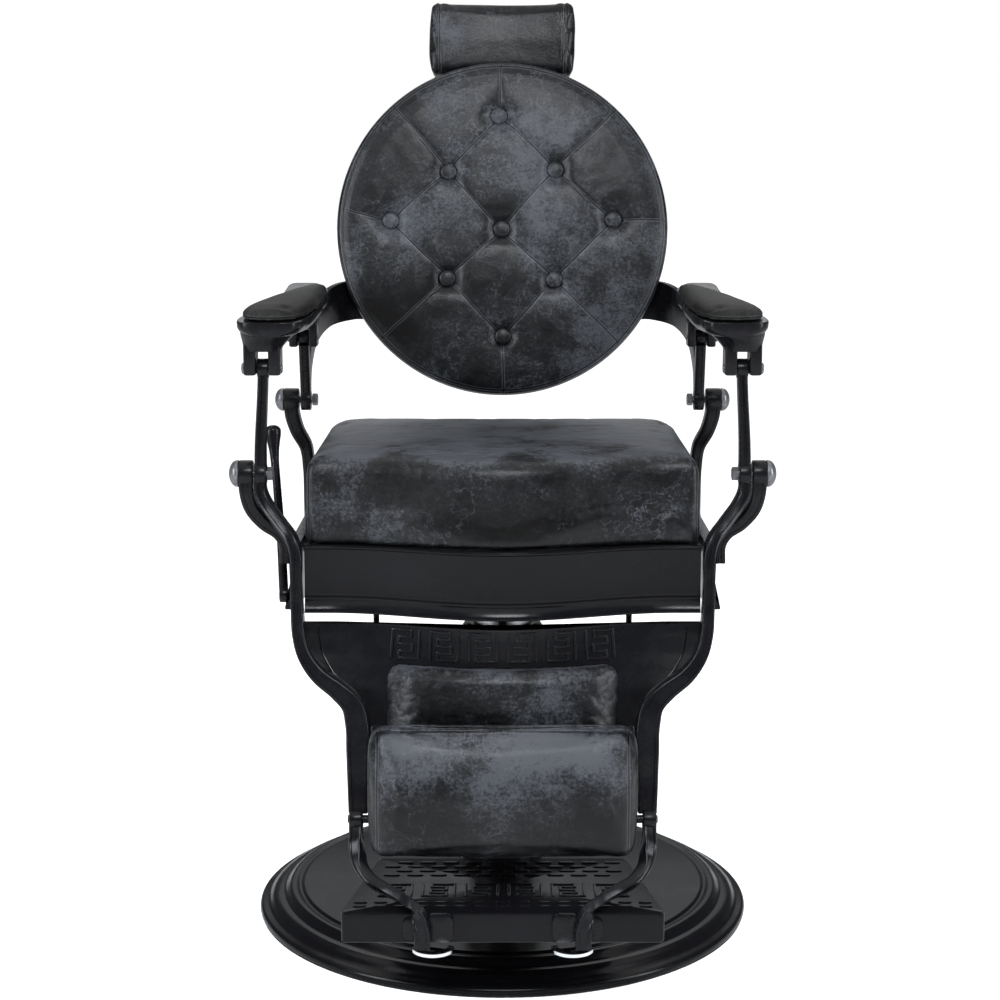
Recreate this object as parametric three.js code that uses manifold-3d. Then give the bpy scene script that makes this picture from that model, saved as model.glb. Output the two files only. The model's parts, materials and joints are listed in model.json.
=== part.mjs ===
// A hydraulic barber chair with a round buttoned back, open lever arms and a swinging leg rest.
// Millimetres, +Z up, the sitter faces -Y, origin on the floor under the middle of the round base.
// "left" and "right" are the sitter's own, so left is +X.
import * as THREE from "three";
import { mergeVertices } from "three/addons/utils/BufferGeometryUtils.js";
import Module from "manifold-3d";

const wasm = await Module();
wasm.setup();

// ---- driving dimensions ----
const BASE_RADIUS = 356;
const BASE_TOP = 38;
const PUMP_RADIUS = 58;
const PUMP_TOP = 424;
const PISTON_RADIUS = 19;
const PISTON_TOP = 520;
const PUMP_BORE = PISTON_RADIUS + 1.6;

const APRON_LOW = 491;
const APRON_HIGH = 581;
const SEAT_HALF_WIDTH = 264;
const SEAT_CORNER_Y = -240;
const SEAT_REAR_Y = 165;
const SEAT_TOP = 695;
const FRONT_BOW = 50;
const BOW_HALF_WIDTH = 230;

const FRONT_PIVOT = { x: 321, y: -200, z: 670 };
const REAR_PIVOT = { x: 291.5, y: 130, z: 730 };
const ARM_FRONT_PIN = { x: 315, y: -200, z: 810 };
const ARM_REAR_PIN = { x: 291.5, y: 110, z: 825 };
const FLIP_HINGE = { x: 189.5, y: -345, z: 241 };
const LEVER_THICKNESS = 15;
const LEVER_DEPTH = 26;

const BACK_CENTRE = new THREE.Vector3(0, 230, 977);
const BACK_LEAN = THREE.MathUtils.degToRad(7);
const BACK_RADIUS = 248;
const HEADREST_HALF_WIDTH = 112;

const PANEL_TOP = 478;
const PANEL_BOTTOM = 315;
const TREAD_TOP = 146;
const TREAD_BOTTOM = 106;
const GAP = 0.3;

// ---- finishes ----
const finish = (color, roughness, metalness) =>
  new THREE.MeshStandardMaterial({ color, roughness, metalness, flatShading: true });
const BLACK_PAINT = finish(0x16171a, 0.38, 0.55);
const LEATHER = finish(0x22262b, 0.5, 0);
const CHROME = finish(0xd8d9dc, 0.12, 1);
const STEEL = finish(0x8b8d90, 0.35, 1);
const RUBBER = finish(0x101010, 0.85, 0);
const PLYWOOD = finish(0x9a7b55, 0.8, 0);

// ---- shape helpers ----
const vec = (x, y, z) => new THREE.Vector3(x, y, z);
const lerp = THREE.MathUtils.lerp;

function geometryOf(points, index) {
  const geometry = new THREE.BufferGeometry().setFromPoints(points);
  geometry.setIndex(index);
  return geometry;
}

function flipped(geometry) {
  const index = geometry.index.array;
  for (let i = 0; i < index.length; i += 3) {
    [index[i + 1], index[i + 2]] = [index[i + 2], index[i + 1]];
  }
  return geometry;
}

function signedVolume(geometry) {
  const position = geometry.getAttribute("position");
  const index = geometry.index.array;
  const corner = (i) => vec(0, 0, 0).fromBufferAttribute(position, index[i]);
  let volume = 0;
  for (let i = 0; i < index.length; i += 3) {
    volume += corner(i).dot(corner(i + 1).cross(corner(i + 2)));
  }
  return volume;
}

// The same closed geometry with its faces pointing out.
const outward = (geometry) => (signedVolume(geometry) < 0 ? flipped(geometry) : geometry);

const mirrored = (geometry) => flipped(geometry.clone().scale(-1, 1, 1));

// A closed manifold-3d solid of a geometry, without its zero-area triangles.
function solidOf(geometry) {
  const source = geometry.index ? geometry.toNonIndexed() : geometry;
  const bare = new THREE.BufferGeometry();
  bare.setAttribute("position", source.getAttribute("position"));
  const merged = mergeVertices(bare, 1e-3);
  const index = merged.index.array;
  const kept = [];
  for (let i = 0; i < index.length; i += 3) {
    const [a, b, c] = index.slice(i, i + 3);
    if (a !== b && b !== c && c !== a) kept.push(a, b, c);
  }
  const vertProperties = new Float32Array(merged.getAttribute("position").array);
  const mesh = new wasm.Mesh({ numProp: 3, vertProperties, triVerts: new Uint32Array(kept) });
  return new wasm.Manifold(mesh);
}

function geometryFrom(solid) {
  const mesh = solid.getMesh();
  const geometry = new THREE.BufferGeometry();
  geometry.setAttribute("position", new THREE.BufferAttribute(mesh.vertProperties, 3));
  geometry.setIndex(new THREE.BufferAttribute(mesh.triVerts, 1));
  return geometry;
}

const join = (first, ...others) =>
  geometryFrom(others.reduce((sum, one) => sum.add(solidOf(one)), solidOf(first)));

const cut = (first, ...others) =>
  geometryFrom(others.reduce((left, one) => left.subtract(solidOf(one)), solidOf(first)));

// Triangles that close a flat ring of points, turning the way the ring turns.
function capIndex(ring, start) {
  const centre = ring.reduce((sum, p) => sum.add(p), vec(0, 0, 0)).divideScalar(ring.length);
  const normal = vec(0, 0, 0);
  ring.forEach((p, i) => {
    const next = ring[(i + 1) % ring.length];
    normal.add(p.clone().sub(centre).cross(next.clone().sub(centre)));
  });
  normal.normalize();
  const across = ring[0].clone().sub(centre).projectOnPlane(normal).normalize();
  const up = normal.clone().cross(across);
  const flat = ring.map((p) => {
    const offset = p.clone().sub(centre);
    return new THREE.Vector2(offset.dot(across), offset.dot(up));
  });
  return THREE.ShapeUtils.triangulateShape(flat, []).flatMap(([a, b, c]) => {
    const turn = flat[b].clone().sub(flat[a]).cross(flat[c].clone().sub(flat[a]));
    return (turn > 0 ? [a, b, c] : [a, c, b]).map((i) => i + start);
  });
}

// A closed body through rings that all have the same number of points.
function loft(rings) {
  const count = rings[0].length;
  const index = [];
  for (let i = 0; i + 1 < rings.length; i++) {
    for (let j = 0; j < count; j++) {
      const a = i * count + j;
      const b = i * count + ((j + 1) % count);
      index.push(a, b, b + count, a, b + count, a + count);
    }
  }
  const first = capIndex(rings[0], 0);
  index.push(...first.reverse());
  index.push(...capIndex(rings.at(-1), (rings.length - 1) * count));
  return outward(geometryOf(rings.flat(), index));
}

// A turned body about Z from a profile of [radius, z] that starts and ends on the axis or closes.
function turned(profile, segments) {
  const points = profile.map(([r, z]) => new THREE.Vector2(r, z));
  return outward(new THREE.LatheGeometry(points, segments).rotateX(Math.PI / 2));
}

const turnedAlongX = (profile, segments, y, z) =>
  turned(profile, segments).rotateY(Math.PI / 2).translate(0, y, z);

const drumX = (radius, x0, x1, at, segments = 20) =>
  new THREE.CylinderGeometry(radius, radius, x1 - x0, segments)
    .rotateZ(Math.PI / 2)
    .translate((x0 + x1) / 2, at.y, at.z);

const drumZ = (radius, z0, z1, x, y, segments = 20) =>
  new THREE.CylinderGeometry(radius, radius, z1 - z0, segments)
    .rotateX(Math.PI / 2)
    .translate(x, y, (z0 + z1) / 2);

const block = (x0, x1, y0, y1, z0, z1) =>
  new THREE.BoxGeometry(x1 - x0, y1 - y0, z1 - z0).translate(
    (x0 + x1) / 2,
    (y0 + y1) / 2,
    (z0 + z1) / 2,
  );

// The value at u (0 to 1) of a list of numbers spread evenly.
function along(values, u) {
  if (typeof values === "number") return values;
  const place = u * (values.length - 1);
  const low = Math.min(Math.floor(place), values.length - 2);
  return lerp(values[low], values[low + 1], place - low);
}

// The corners of an oblong section with cut corners, about a centre.
function oblongRing(centre, halfWide, halfThick) {
  const corner = Math.min(halfWide.length(), halfThick.length()) * 0.35;
  const wide = halfWide.clone().normalize();
  const thick = halfThick.clone().normalize();
  const w = halfWide.length();
  const t = halfThick.length();
  const outline = [
    [w, t - corner],
    [w - corner, t],
    [corner - w, t],
    [-w, t - corner],
    [-w, corner - t],
    [corner - w, -t],
    [w - corner, -t],
    [w, corner - t],
  ];
  return outline.map(([a, b]) => centre.clone().addScaledVector(wide, a).addScaledVector(thick, b));
}

// A bar along a smooth path. depth lies along the hint direction, thickness across it.
function bar({ path, thickness, depth, hint = [[0, 1, 0]], steps = 14 }) {
  const curve = new THREE.CatmullRomCurve3(path.map((p) => vec(...p)), false, "centripetal");
  const rings = [];
  for (let i = 0; i <= steps; i++) {
    const u = i / steps;
    const tangent = curve.getTangent(u);
    const direction = vec(
      along(hint.map((h) => h[0]).concat(hint.at(-1)[0]), u),
      along(hint.map((h) => h[1]).concat(hint.at(-1)[1]), u),
      along(hint.map((h) => h[2]).concat(hint.at(-1)[2]), u),
    ).projectOnPlane(tangent);
    direction.setLength(along(depth, u) / 2);
    const across = tangent.clone().cross(direction).setLength(along(thickness, u) / 2);
    rings.push(oblongRing(curve.getPoint(u), direction, across));
  }
  return loft(rings);
}

// A round rod along a smooth path, its radius given along it.
function roundBar(path, radius, steps, sides = 10) {
  const curve = new THREE.CatmullRomCurve3(path.map((p) => vec(...p)));
  const rings = [];
  for (let i = 0; i <= steps; i++) {
    const tangent = curve.getTangent(i / steps);
    const first = vec(0, 1, 0).projectOnPlane(tangent).normalize();
    const second = tangent.clone().cross(first);
    const r = along(radius, i / steps);
    const ring = Array.from({ length: sides }, (_, k) => {
      const angle = (2 * Math.PI * k) / sides;
      return curve
        .getPoint(i / steps)
        .addScaledVector(first, r * Math.cos(angle))
        .addScaledVector(second, r * Math.sin(angle));
    });
    rings.push(ring);
  }
  return loft(rings);
}

// An oblong with round corners in the XZ plane, as a ring at one Y.
function roundedRing(halfX, halfZ, radius, y, zMiddle, corners = 3) {
  const ring = [];
  const quarters = [
    [1, 1],
    [-1, 1],
    [-1, -1],
    [1, -1],
  ];
  quarters.forEach(([sx, sz], q) => {
    for (let k = 0; k <= corners; k++) {
      const angle = ((q + k / corners) * Math.PI) / 2;
      const x = sx * (halfX - radius) + radius * Math.cos(angle);
      const z = sz * (halfZ - radius) + radius * Math.sin(angle);
      ring.push(vec(x, y, zMiddle + z));
    }
  });
  return ring;
}

const chair = new THREE.Group();
const back = new THREE.Group();
back.position.copy(BACK_CENTRE);
back.rotation.x = -BACK_LEAN;
chair.add(back);

function add(name, geometry, material, group = chair) {
  const mesh = new THREE.Mesh(geometry, material);
  mesh.name = name;
  group.add(mesh);
}

// Adds the +X piece as NAME_left and its mirror image as NAME_right.
function addPair(name, geometry, material) {
  add(name + "_left", geometry, material);
  add(name + "_right", mirrored(geometry.index ? geometry : geometryFrom(solidOf(geometry))), material);
}

// How far the seat front stands forward of its corners at x.
function bow(x) {
  const part = Math.min(Math.abs(x) / BOW_HALF_WIDTH, 1);
  return FRONT_BOW * (0.5 + 0.5 * Math.cos(Math.PI * part));
}

// ---- base: ringed steel dish on a rubber ring, closed by a flat plate ----
function makeBase() {
  const outer = [
    [0, BASE_TOP],
    [292, BASE_TOP],
    [296, 34],
    [300, 36],
    [308, 36],
    [316, 31],
    [322, 27],
    [330, 26],
    [339, 20],
    [344, 15],
    [350, 14.5],
    [BASE_RADIUS, 11],
    [BASE_RADIUS, 3 + GAP],
  ];
  const inner = [
    [349.5, 3 + GAP],
    [348, 9],
    [318, 24],
    [292, 29],
    [0, 33],
  ];
  add("base_shell", turned([...outer, ...inner], 44), BLACK_PAINT);
  add("base_bottom_plate", drumZ(346, 3 + GAP, 6 + GAP, 0, 0, 40), STEEL);
  const ring = [
    [325, 0],
    [354, 0],
    [354, 3],
    [325, 3],
    [325, 0],
  ];
  add("floor_ring", turned(ring, 44), RUBBER);
}

// ---- hydraulic pump, its gland nut, flange bolts, pedal and piston ----
const PEDAL_PIVOT = { y: 86, z: 71 };

function makePump() {
  const body = turned(
    [
      [0, BASE_TOP + GAP],
      [95, BASE_TOP + GAP],
      [95, 50],
      [66, 50],
      [PUMP_RADIUS, 60],
      [PUMP_RADIUS, PUMP_TOP - 6],
      [PUMP_RADIUS - 6, PUMP_TOP],
      [PUMP_BORE, PUMP_TOP],
      [PUMP_BORE, 80],
      [0, 80],
    ],
    24,
  );
  const lug = block(-9, 9, 50, 100, 58, 84);
  add("pump_body", cut(join(body, lug), drumX(6, -20, 20, PEDAL_PIVOT, 16)), BLACK_PAINT);
  const nut = [
    [PUMP_BORE, PUMP_TOP + GAP],
    [42, PUMP_TOP + GAP],
    [42, PUMP_TOP + 14],
    [36, PUMP_TOP + 20],
    [PUMP_BORE, PUMP_TOP + 20],
    [PUMP_BORE, PUMP_TOP + GAP],
  ];
  add("gland_nut", turned(nut, 20), STEEL);
  for (let i = 0; i < 4; i++) {
    const angle = ((i + 0.5) * Math.PI) / 2;
    const head = drumZ(9, 50 + GAP, 58, 80 * Math.cos(angle), 80 * Math.sin(angle), 6);
    add("base_bolt_" + (i + 1), head, STEEL);
  }
  add("piston", drumZ(PISTON_RADIUS, 90, PISTON_TOP, 0, 0, 24), CHROME);
}

function makePedal() {
  const arm = bar({
    path: [
      [0, 106, 71],
      [0, 250, 76],
      [0, 402, 80],
    ],
    thickness: 26,
    depth: 10,
    hint: [[0, 0, 1]],
    steps: 3,
  });
  const cheeks = [-1, 1].map((side) => {
    const middle = side * 13.5;
    return block(middle - 3.5, middle + 3.5, 76, 116, 62, 80);
  });
  const pin = drumX(5, -17, 17, PEDAL_PIVOT, 14);
  const plate = block(-42, 42, 392, 452, 78, 86);
  add("pedal_lever", join(arm, ...cheeks, pin, plate), BLACK_PAINT);
  add("pedal_pad", block(-45, 45, 390, 455, 86 + GAP, 94), RUBBER);
}

// ---- seat frame: hub and plate, board, apron on four sides, stop rods and strut ----
function makeSeatFrame() {
  const hub = turned(
    [
      [0, 562],
      [45, 562],
      [45, 500],
      [41, 496],
      [PISTON_RADIUS + 0.6, 496],
      [PISTON_RADIUS + 0.6, PISTON_TOP + 0.5],
      [0, PISTON_TOP + 0.5],
    ],
    24,
  );
  add("spider_plate", join(hub, block(-190, 190, -150, 130, 554, 562)), BLACK_PAINT);
  add("seat_board", block(-246, 246, -222, 150, 562 + GAP, APRON_HIGH - GAP), PLYWOOD);
  addPair("stop_rod", drumZ(4, 402, 562, 168, -225, 10), BLACK_PAINT);
  add("recline_strut", block(-6.5, 6.5, -76, -62, 430, 554 - GAP), BLACK_PAINT);
}

// The apron's section as [outward offset, z]: a beaded foot and a rolled top edge.
const APRON_FACE = [
  [0, APRON_HIGH],
  [2, APRON_HIGH - 4],
  [0, APRON_HIGH - 9],
  [0, APRON_LOW + 24],
  [3, APRON_LOW + 19],
  [2, APRON_LOW + 13],
  [8, APRON_LOW + 2],
  [8, APRON_LOW],
];
const APRON_WALL = 13;

function apronSection(place) {
  const rear = [
    [-APRON_WALL, APRON_LOW],
    [-APRON_WALL, APRON_HIGH],
  ];
  return [...APRON_FACE, ...rear].map(([out, z]) => place(out, z));
}

function makeApron() {
  const half = 261;
  const stations = 16;
  const front = [];
  for (let i = 0; i <= stations; i++) {
    const x = lerp(-half, half, i / stations);
    front.push(apronSection((out, z) => vec(x, SEAT_CORNER_Y - bow(x) - out, z)));
  }
  add("apron_front", loft(front), BLACK_PAINT);
  const side = [-226, SEAT_REAR_Y].map((y) => apronSection((out, z) => vec(281 + out, y, z)));
  addPair("apron_side", loft(side), BLACK_PAINT);
  const rear = [-280, 280].map((x) =>
    apronSection((out, z) => vec(x, SEAT_REAR_Y + GAP + APRON_WALL + out, z)),
  );
  add("apron_rear", loft(rear), BLACK_PAINT);
}

// ---- seat cushion: crowned box whose front follows the bow ----
function cushionRing(inset, z, frontStations = 12) {
  const half = SEAT_HALF_WIDTH - inset;
  const corner = 22;
  const ring = [];
  for (let i = 0; i <= frontStations; i++) {
    const x = lerp(-(half - corner), half - corner, i / frontStations);
    ring.push(vec(x, SEAT_CORNER_Y + inset - bow(x), z));
  }
  const turns = [
    [half - corner, SEAT_CORNER_Y + inset + corner, -1],
    [half - corner, SEAT_REAR_Y - inset - corner, 0],
    [corner - half, SEAT_REAR_Y - inset - corner, 1],
    [corner - half, SEAT_CORNER_Y + inset + corner, 2],
  ];
  turns.forEach(([x, y, quarter]) => {
    const first = quarter === -1 ? 1 : 0;
    const last = quarter === 2 ? 2 : 3;
    for (let k = first; k <= last; k++) {
      const angle = ((quarter + k / 3) * Math.PI) / 2;
      ring.push(vec(x + corner * Math.cos(angle), y + corner * Math.sin(angle), z));
    }
  });
  return ring;
}

function makeSeatCushion() {
  const low = APRON_HIGH + 0.4;
  const levels = [
    [6, low],
    [1, low + 8],
    [0, low + 50],
    [2, SEAT_TOP - 22],
    [10, SEAT_TOP - 9],
    [30, SEAT_TOP - 2],
    [70, SEAT_TOP],
  ];
  add("seat_cushion", loft(levels.map(([inset, z]) => cushionRing(inset, z))), LEATHER);
}

// ---- horns: curved brackets that carry the arm pivots ----
function makeHorns() {
  const front = bar({
    path: [
      [340, -200, 664],
      [340, -200, 648],
      [334, -197, 624],
      [318, -193, 603],
      [299, -189, 588],
      [291, -187, 572],
      [291, -186, 548],
    ],
    thickness: [18, 18, 18, 17, 16, 15, 15],
    depth: [30, 28, 26, 26, 26, 26, 26],
    steps: 9,
  });
  const frontBoss = drumX(18, 331, 349.5, FRONT_PIVOT, 16);
  const frontHole = drumX(6.4, 325, 355, FRONT_PIVOT, 10);
  addPair("front_horn", cut(join(front, frontBoss), frontHole), BLACK_PAINT);
  const rear = bar({
    path: [
      [313, 130, 724],
      [312.5, 131, 710],
      [306, 137, 684],
      [294, 146, 657],
      [291, 150, 625],
      [291, 151, 585],
      [291, 151, 548],
    ],
    thickness: [21, 20, 18, 16, 15, 15, 15],
    depth: [28, 27, 26, 26, 26, 26, 26],
    steps: 9,
  });
  const rearBoss = drumX(17, 302, 324, REAR_PIVOT, 16);
  const rearHole = drumX(6.4, 295, 330, REAR_PIVOT, 10);
  addPair("rear_horn", cut(join(rear, rearBoss), rearHole), BLACK_PAINT);
}

// A domed bolt through a horn's boss and a lever, with its nut on the inner side.
function domedBolt(nutX, nutEndX, headX, headRadius, pivot) {
  const rise = 8;
  const dome = [1, 0.85, 0.5].map((part) => [
    headRadius * part,
    headX + rise * Math.sqrt(1 - part * part) + 1,
  ]);
  const profile = [
    [0, nutX],
    [9, nutX],
    [9, nutEndX],
    [6, nutEndX],
    [6, headX],
    [headRadius, headX],
    ...dome,
    [0, headX + rise + 1],
  ];
  return turnedAlongX(profile, 12, pivot.y, pivot.z);
}

function makePivotBolts() {
  addPair("front_pivot_bolt", domedBolt(304, 312, 349.8, 18, FRONT_PIVOT), STEEL);
  addPair("rear_pivot_bolt", domedBolt(274, 282.5, 324.3, 17, REAR_PIVOT), STEEL);
}

// ---- recline release lever, on the sitter's right ----
function makeReclineLever() {
  const pivot = { y: -172, z: 500 };
  const rod = roundBar(
    [
      [-297, -169, 506],
      [-300, -162, 575],
      [-305, -152, 640],
      [-309, -141, 688],
    ],
    [6, 4.5, 4.5, 4],
    6,
  );
  add("recline_rod", join(rod, drumX(11, -302, -291, pivot, 16)), BLACK_PAINT);
  const grip = roundBar(
    [
      [-309.2, -140.2, 689.5],
      [-311, -135, 706],
      [-312, -131, 722],
    ],
    [5, 7, 9, 9.5, 8, 3],
    5,
  );
  add("recline_grip", grip, BLACK_PAINT);
}

// ---- leg rest: two long levers, panel, calf pad, step arms and tread ----
const LEVER_PATH = [
  [315, -200, 806],
  [316.5, -200, 775],
  [320, -200, 715],
  [321, -200, 672],
  [321, -201, 648],
  [312, -208, 629],
  [294, -224, 608],
  [277, -240, 588],
  [271, -247, 567],
  [271, -250, 530],
  [270, -253, 497],
  [267, -262, 465],
  [258, -271, 439],
  [240, -280, 416],
  [214, -288, 397],
  [196, -294, 379],
  [189.5, -303, 355],
  [188, -316, 318],
  [187, -332, 276],
  [187, -338, 254],
];

// The lever's centre line at a height below the seat.
function leverAt(z) {
  const below = LEVER_PATH.findIndex((p) => p[2] <= z);
  const [high, low] = [LEVER_PATH[below - 1], LEVER_PATH[below]];
  const part = (high[2] - z) / (high[2] - low[2]);
  return { x: lerp(high[0], low[0], part), y: lerp(high[1], low[1], part) };
}

function makeFrontLevers() {
  const shaft = bar({
    path: LEVER_PATH,
    thickness: [15, 15, 15, 15, 15, 15, 15, 15, 15, 16, 17, 19, 22, 26, 30, 30, 27, 24],
    depth: [22, 24, 26, 26, 26, 26, 26, 26, 26, 26, 26, 26, 24, 22, 20, 20, 20, 20],
    steps: 24,
  });
  const half = LEVER_THICKNESS / 2;
  const eye = drumX(13, ARM_FRONT_PIN.x - half, ARM_FRONT_PIN.x + half, ARM_FRONT_PIN, 14);
  const hub = drumX(17, FRONT_PIVOT.x - half, FRONT_PIVOT.x + half, FRONT_PIVOT, 16);
  const holes = [
    drumX(6.2, 300, 335, ARM_FRONT_PIN, 10),
    drumX(7, 300, 335, FRONT_PIVOT, 10),
    drumX(13.6, 170, 210, FLIP_HINGE, 16),
  ];
  addPair("front_lever", cut(join(shaft, eye, hub), ...holes), BLACK_PAINT);
}

// A point on the leg panel's front face, part running from -1 to 1 across it.
function panelFront(part, z) {
  const edge = leverAt(z);
  const width = edge.x - 3;
  const height = (z - PANEL_BOTTOM) / (PANEL_TOP - PANEL_BOTTOM);
  const bulge = lerp(0.1, 1, height) * bow(part * width);
  return vec(part * width, edge.y + LEVER_DEPTH / 2 + 1.5 - bulge, z);
}

function makeLegPanel() {
  const wall = 7;
  const across = 12;
  const levels = [PANEL_BOTTOM, 345, 372, 386, 397, 407, 416, 428, 441, 460, PANEL_TOP];
  const rings = levels.map((z) => {
    const front = [];
    for (let i = 0; i <= across; i++) front.push(panelFront(lerp(-1, 1, i / across), z));
    const rear = front.map((p) => p.clone().add(vec(0, wall, 0))).reverse();
    return [...front, ...rear];
  });
  add("leg_panel", loft(rings), BLACK_PAINT);
}

function makeCalfPad() {
  const half = 150;
  const across = 10;
  const levels = [
    [330, 0.55],
    [338, 0.95],
    [380, 1],
    [420, 0.95],
    [430, 0.5],
  ];
  const rings = levels.map(([z, fullness]) => {
    const rear = [];
    const front = [];
    for (let i = 0; i <= across; i++) {
      const x = lerp(-half, half, i / across);
      const seat = panelFront(x / (leverAt(z).x - 3), z);
      const edge = Math.sqrt(1 - Math.min(0.98, (x / (half + 1)) ** 8));
      rear.push(seat.clone().add(vec(0, -3, 0)));
      front.push(seat.clone().add(vec(0, -6 - 29 * fullness * edge, 0)));
    }
    return [...front, ...rear.reverse()];
  });
  add("calf_pad", loft(rings), LEATHER);
}

function makeStepArms() {
  const arm = bar({
    path: [
      [189.5, -345, 238],
      [188, -360, 212],
      [182, -374, 189],
      [167, -387, 173],
      [147, -398, 165],
      [126, -415, 160],
      [109, -434, 153],
      [102, -442, 134],
      [101, -442, 104],
    ],
    thickness: [17, 17, 18, 18, 19, 19, 19, 19, 19],
    depth: [16, 15, 14, 13, 13, 13, 13, 13, 13],
    hint: [[0, 1, 1]],
    steps: 14,
  });
  const eye = drumX(13, 181, 198, FLIP_HINGE, 16);
  addPair("step_arm", cut(join(arm, eye), drumX(6.2, 170, 210, FLIP_HINGE, 10)), BLACK_PAINT);
}

function makeStepTread() {
  const plan = (inset) => [
    vec(-205 + inset, -427 + inset, 0),
    vec(205 - inset, -427 + inset, 0),
    vec(168 - inset, -227 - inset, 0),
    vec(-168 + inset, -227 - inset, 0),
  ];
  const at = (ring, z) => ring.map((p) => p.clone().setZ(z));
  const outer = loft([at(plan(0), TREAD_BOTTOM), at(plan(0), TREAD_TOP - 3), at(plan(3), TREAD_TOP)]);
  const pocket = loft([at(plan(8), TREAD_BOTTOM - 5), at(plan(8), TREAD_TOP - 8)]);
  add("step_tread", cut(outer, pocket), BLACK_PAINT);
  const crescent = new THREE.Shape();
  crescent.absarc(0, 0, 27, Math.PI, 2 * Math.PI, false);
  crescent.absarc(0, 3, 20, 2 * Math.PI, Math.PI, true);
  const glide = new THREE.ExtrudeGeometry(crescent, { depth: 5, bevelEnabled: false, curveSegments: 8 });
  addPair("step_glide", glide.translate(88, -428, TREAD_BOTTOM - 9), CHROME);
}

// ---- flip rest: metal tread on one face, leather pad on the other, on two trunnions ----
function makeFlipRest() {
  const half = 168;
  const plate = block(-half, half, -361.5, -353, 206, 370);
  const ears = [-1, 1].map((side) => {
    const ends = [side * 152, side * half].sort((a, b) => a - b);
    return block(ends[0], ends[1], -354, -335, 229, 253);
  });
  const pin = drumX(5.4, 153, 200, FLIP_HINGE, 14);
  const trunnions = [pin, mirrored(geometryFrom(solidOf(pin)))];
  add("flip_tread", join(plate, ...ears, ...trunnions), BLACK_PAINT);
  const levels = [
    [-362, 0],
    [-368, -1],
    [-386, 0],
    [-394, 6],
    [-399, 18],
    [-401, 50],
  ];
  const rings = levels.map(([y, inset]) => {
    const radius = Math.max(18 - inset * 0.2, 10);
    return roundedRing(half - inset, 85 - inset, radius, y, 288);
  });
  add("flip_pad", loft(rings), LEATHER);
}

// ---- armrests: forked castings, pads and clevis pins ----
const armTop = (y) => 874 + (y + 235) * 0.08;

// A ring across the arm at one y, with rounded lower corners and a flat or crowned top.
function armRing(y, middle, half, low, high, crown) {
  const ring = [];
  for (let k = 0; k <= 4; k++) {
    const angle = Math.PI + (Math.PI * k) / 4;
    const rounded = Math.abs(Math.sin(angle)) ** 0.5;
    ring.push(vec(middle + half * Math.cos(angle), y, high - (high - low) * rounded));
  }
  for (let k = 1; k < 4; k++) {
    const part = 1 - k / 2;
    ring.push(vec(middle + half * part, y, high + crown * (1 - part * part)));
  }
  return ring;
}

function makeArmrests() {
  const stations = [
    [-246, 303, 20, 18],
    [-240, 303, 34, 26],
    [-226, 303, 42, 32],
    [-200, 302, 44, 34],
    [-170, 297, 44, 33],
    [-130, 290, 40, 28],
    [-60, 283, 35, 26],
    [0, 281, 31, 28],
    [60, 281, 31, 34],
    [110, 288, 24, 44],
    [127, 290, 18, 46],
  ];
  const beam = loft(
    stations.map(([y, middle, half, deep]) => armRing(y, middle, half, armTop(y) - deep, armTop(y), 0.01)),
  );
  const frontFork = block(291, 339, -219, -181, 802, 856);
  const rearFork = block(271, 312, 93, 126, 811, 868);
  const slots = [
    block(306.7, 323.3, -230, -170, 795, 833),
    block(283.2, 299.8, 84, 135, 800, 846),
    drumX(5.3, 280, 350, ARM_FRONT_PIN, 14),
    drumX(5.3, 262, 320, ARM_REAR_PIN, 14),
  ];
  addPair("armrest", cut(join(beam, frontFork, rearFork), ...slots), BLACK_PAINT);
  addPair("arm_front_pin", drumX(5, 289.5, 340.5, ARM_FRONT_PIN, 12), STEEL);
  addPair("arm_rear_pin", drumX(5, 269.5, 313.5, ARM_REAR_PIN, 12), STEEL);
  const pad = [
    [-240, 302, 12, 3],
    [-234, 302, 29, 8],
    [-216, 301, 40, 14],
    [-180, 296, 44, 17],
    [-120, 285, 40, 17],
    [-50, 274, 29, 15],
    [20, 264, 17, 11],
    [58, 261, 7, 5],
  ];
  const rings = pad.map(([y, middle, half, high]) =>
    armRing(y, middle, half, armTop(y) + 0.5, armTop(y) + 0.5 + high * 0.5, high * 0.5),
  );
  addPair("arm_pad", loft(rings), LEATHER);
}

// ---- back: lever brackets, panel, round cushion ----
function makeBackLevers() {
  const half = LEVER_THICKNESS / 2;
  const { x } = REAR_PIVOT;
  const post = bar({
    path: [
      [x, 130, 730],
      [x, 120, 778],
      [x, 110, 823],
    ],
    thickness: 14.5,
    depth: [26, 22, 20],
    steps: 4,
  });
  const strap = bar({
    path: [
      [x, 131, 734],
      [x, 158, 786],
      [284, 199, 831],
      [263, 237, 860],
      [233, 258, 868.5],
      [196, 260.5, 868.6],
      [158, 260.5, 868.6],
    ],
    thickness: [13, 12, 11, 11, 11, 11, 11],
    depth: [26, 40, 54, 60, 60, 60, 58],
    hint: [
      [0, 0.88, -0.48],
      [0, 0.85, -0.53],
      [0, 0.7, -0.7],
      [0, 0.3, -0.93],
      [0, -0.1, -0.99],
      [0, -0.12, -0.99],
    ],
    steps: 11,
  });
  const hub = drumX(16, x - half, x + half, REAR_PIVOT, 16);
  const eye = drumX(11.5, x - half, x + half, ARM_REAR_PIN, 14);
  const holes = [drumX(7, 270, 310, REAR_PIVOT, 10), drumX(8, 270, 310, ARM_REAR_PIN, 10)];
  addPair("back_lever", cut(join(post, strap, hub, eye), ...holes), BLACK_PAINT);
}

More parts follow.
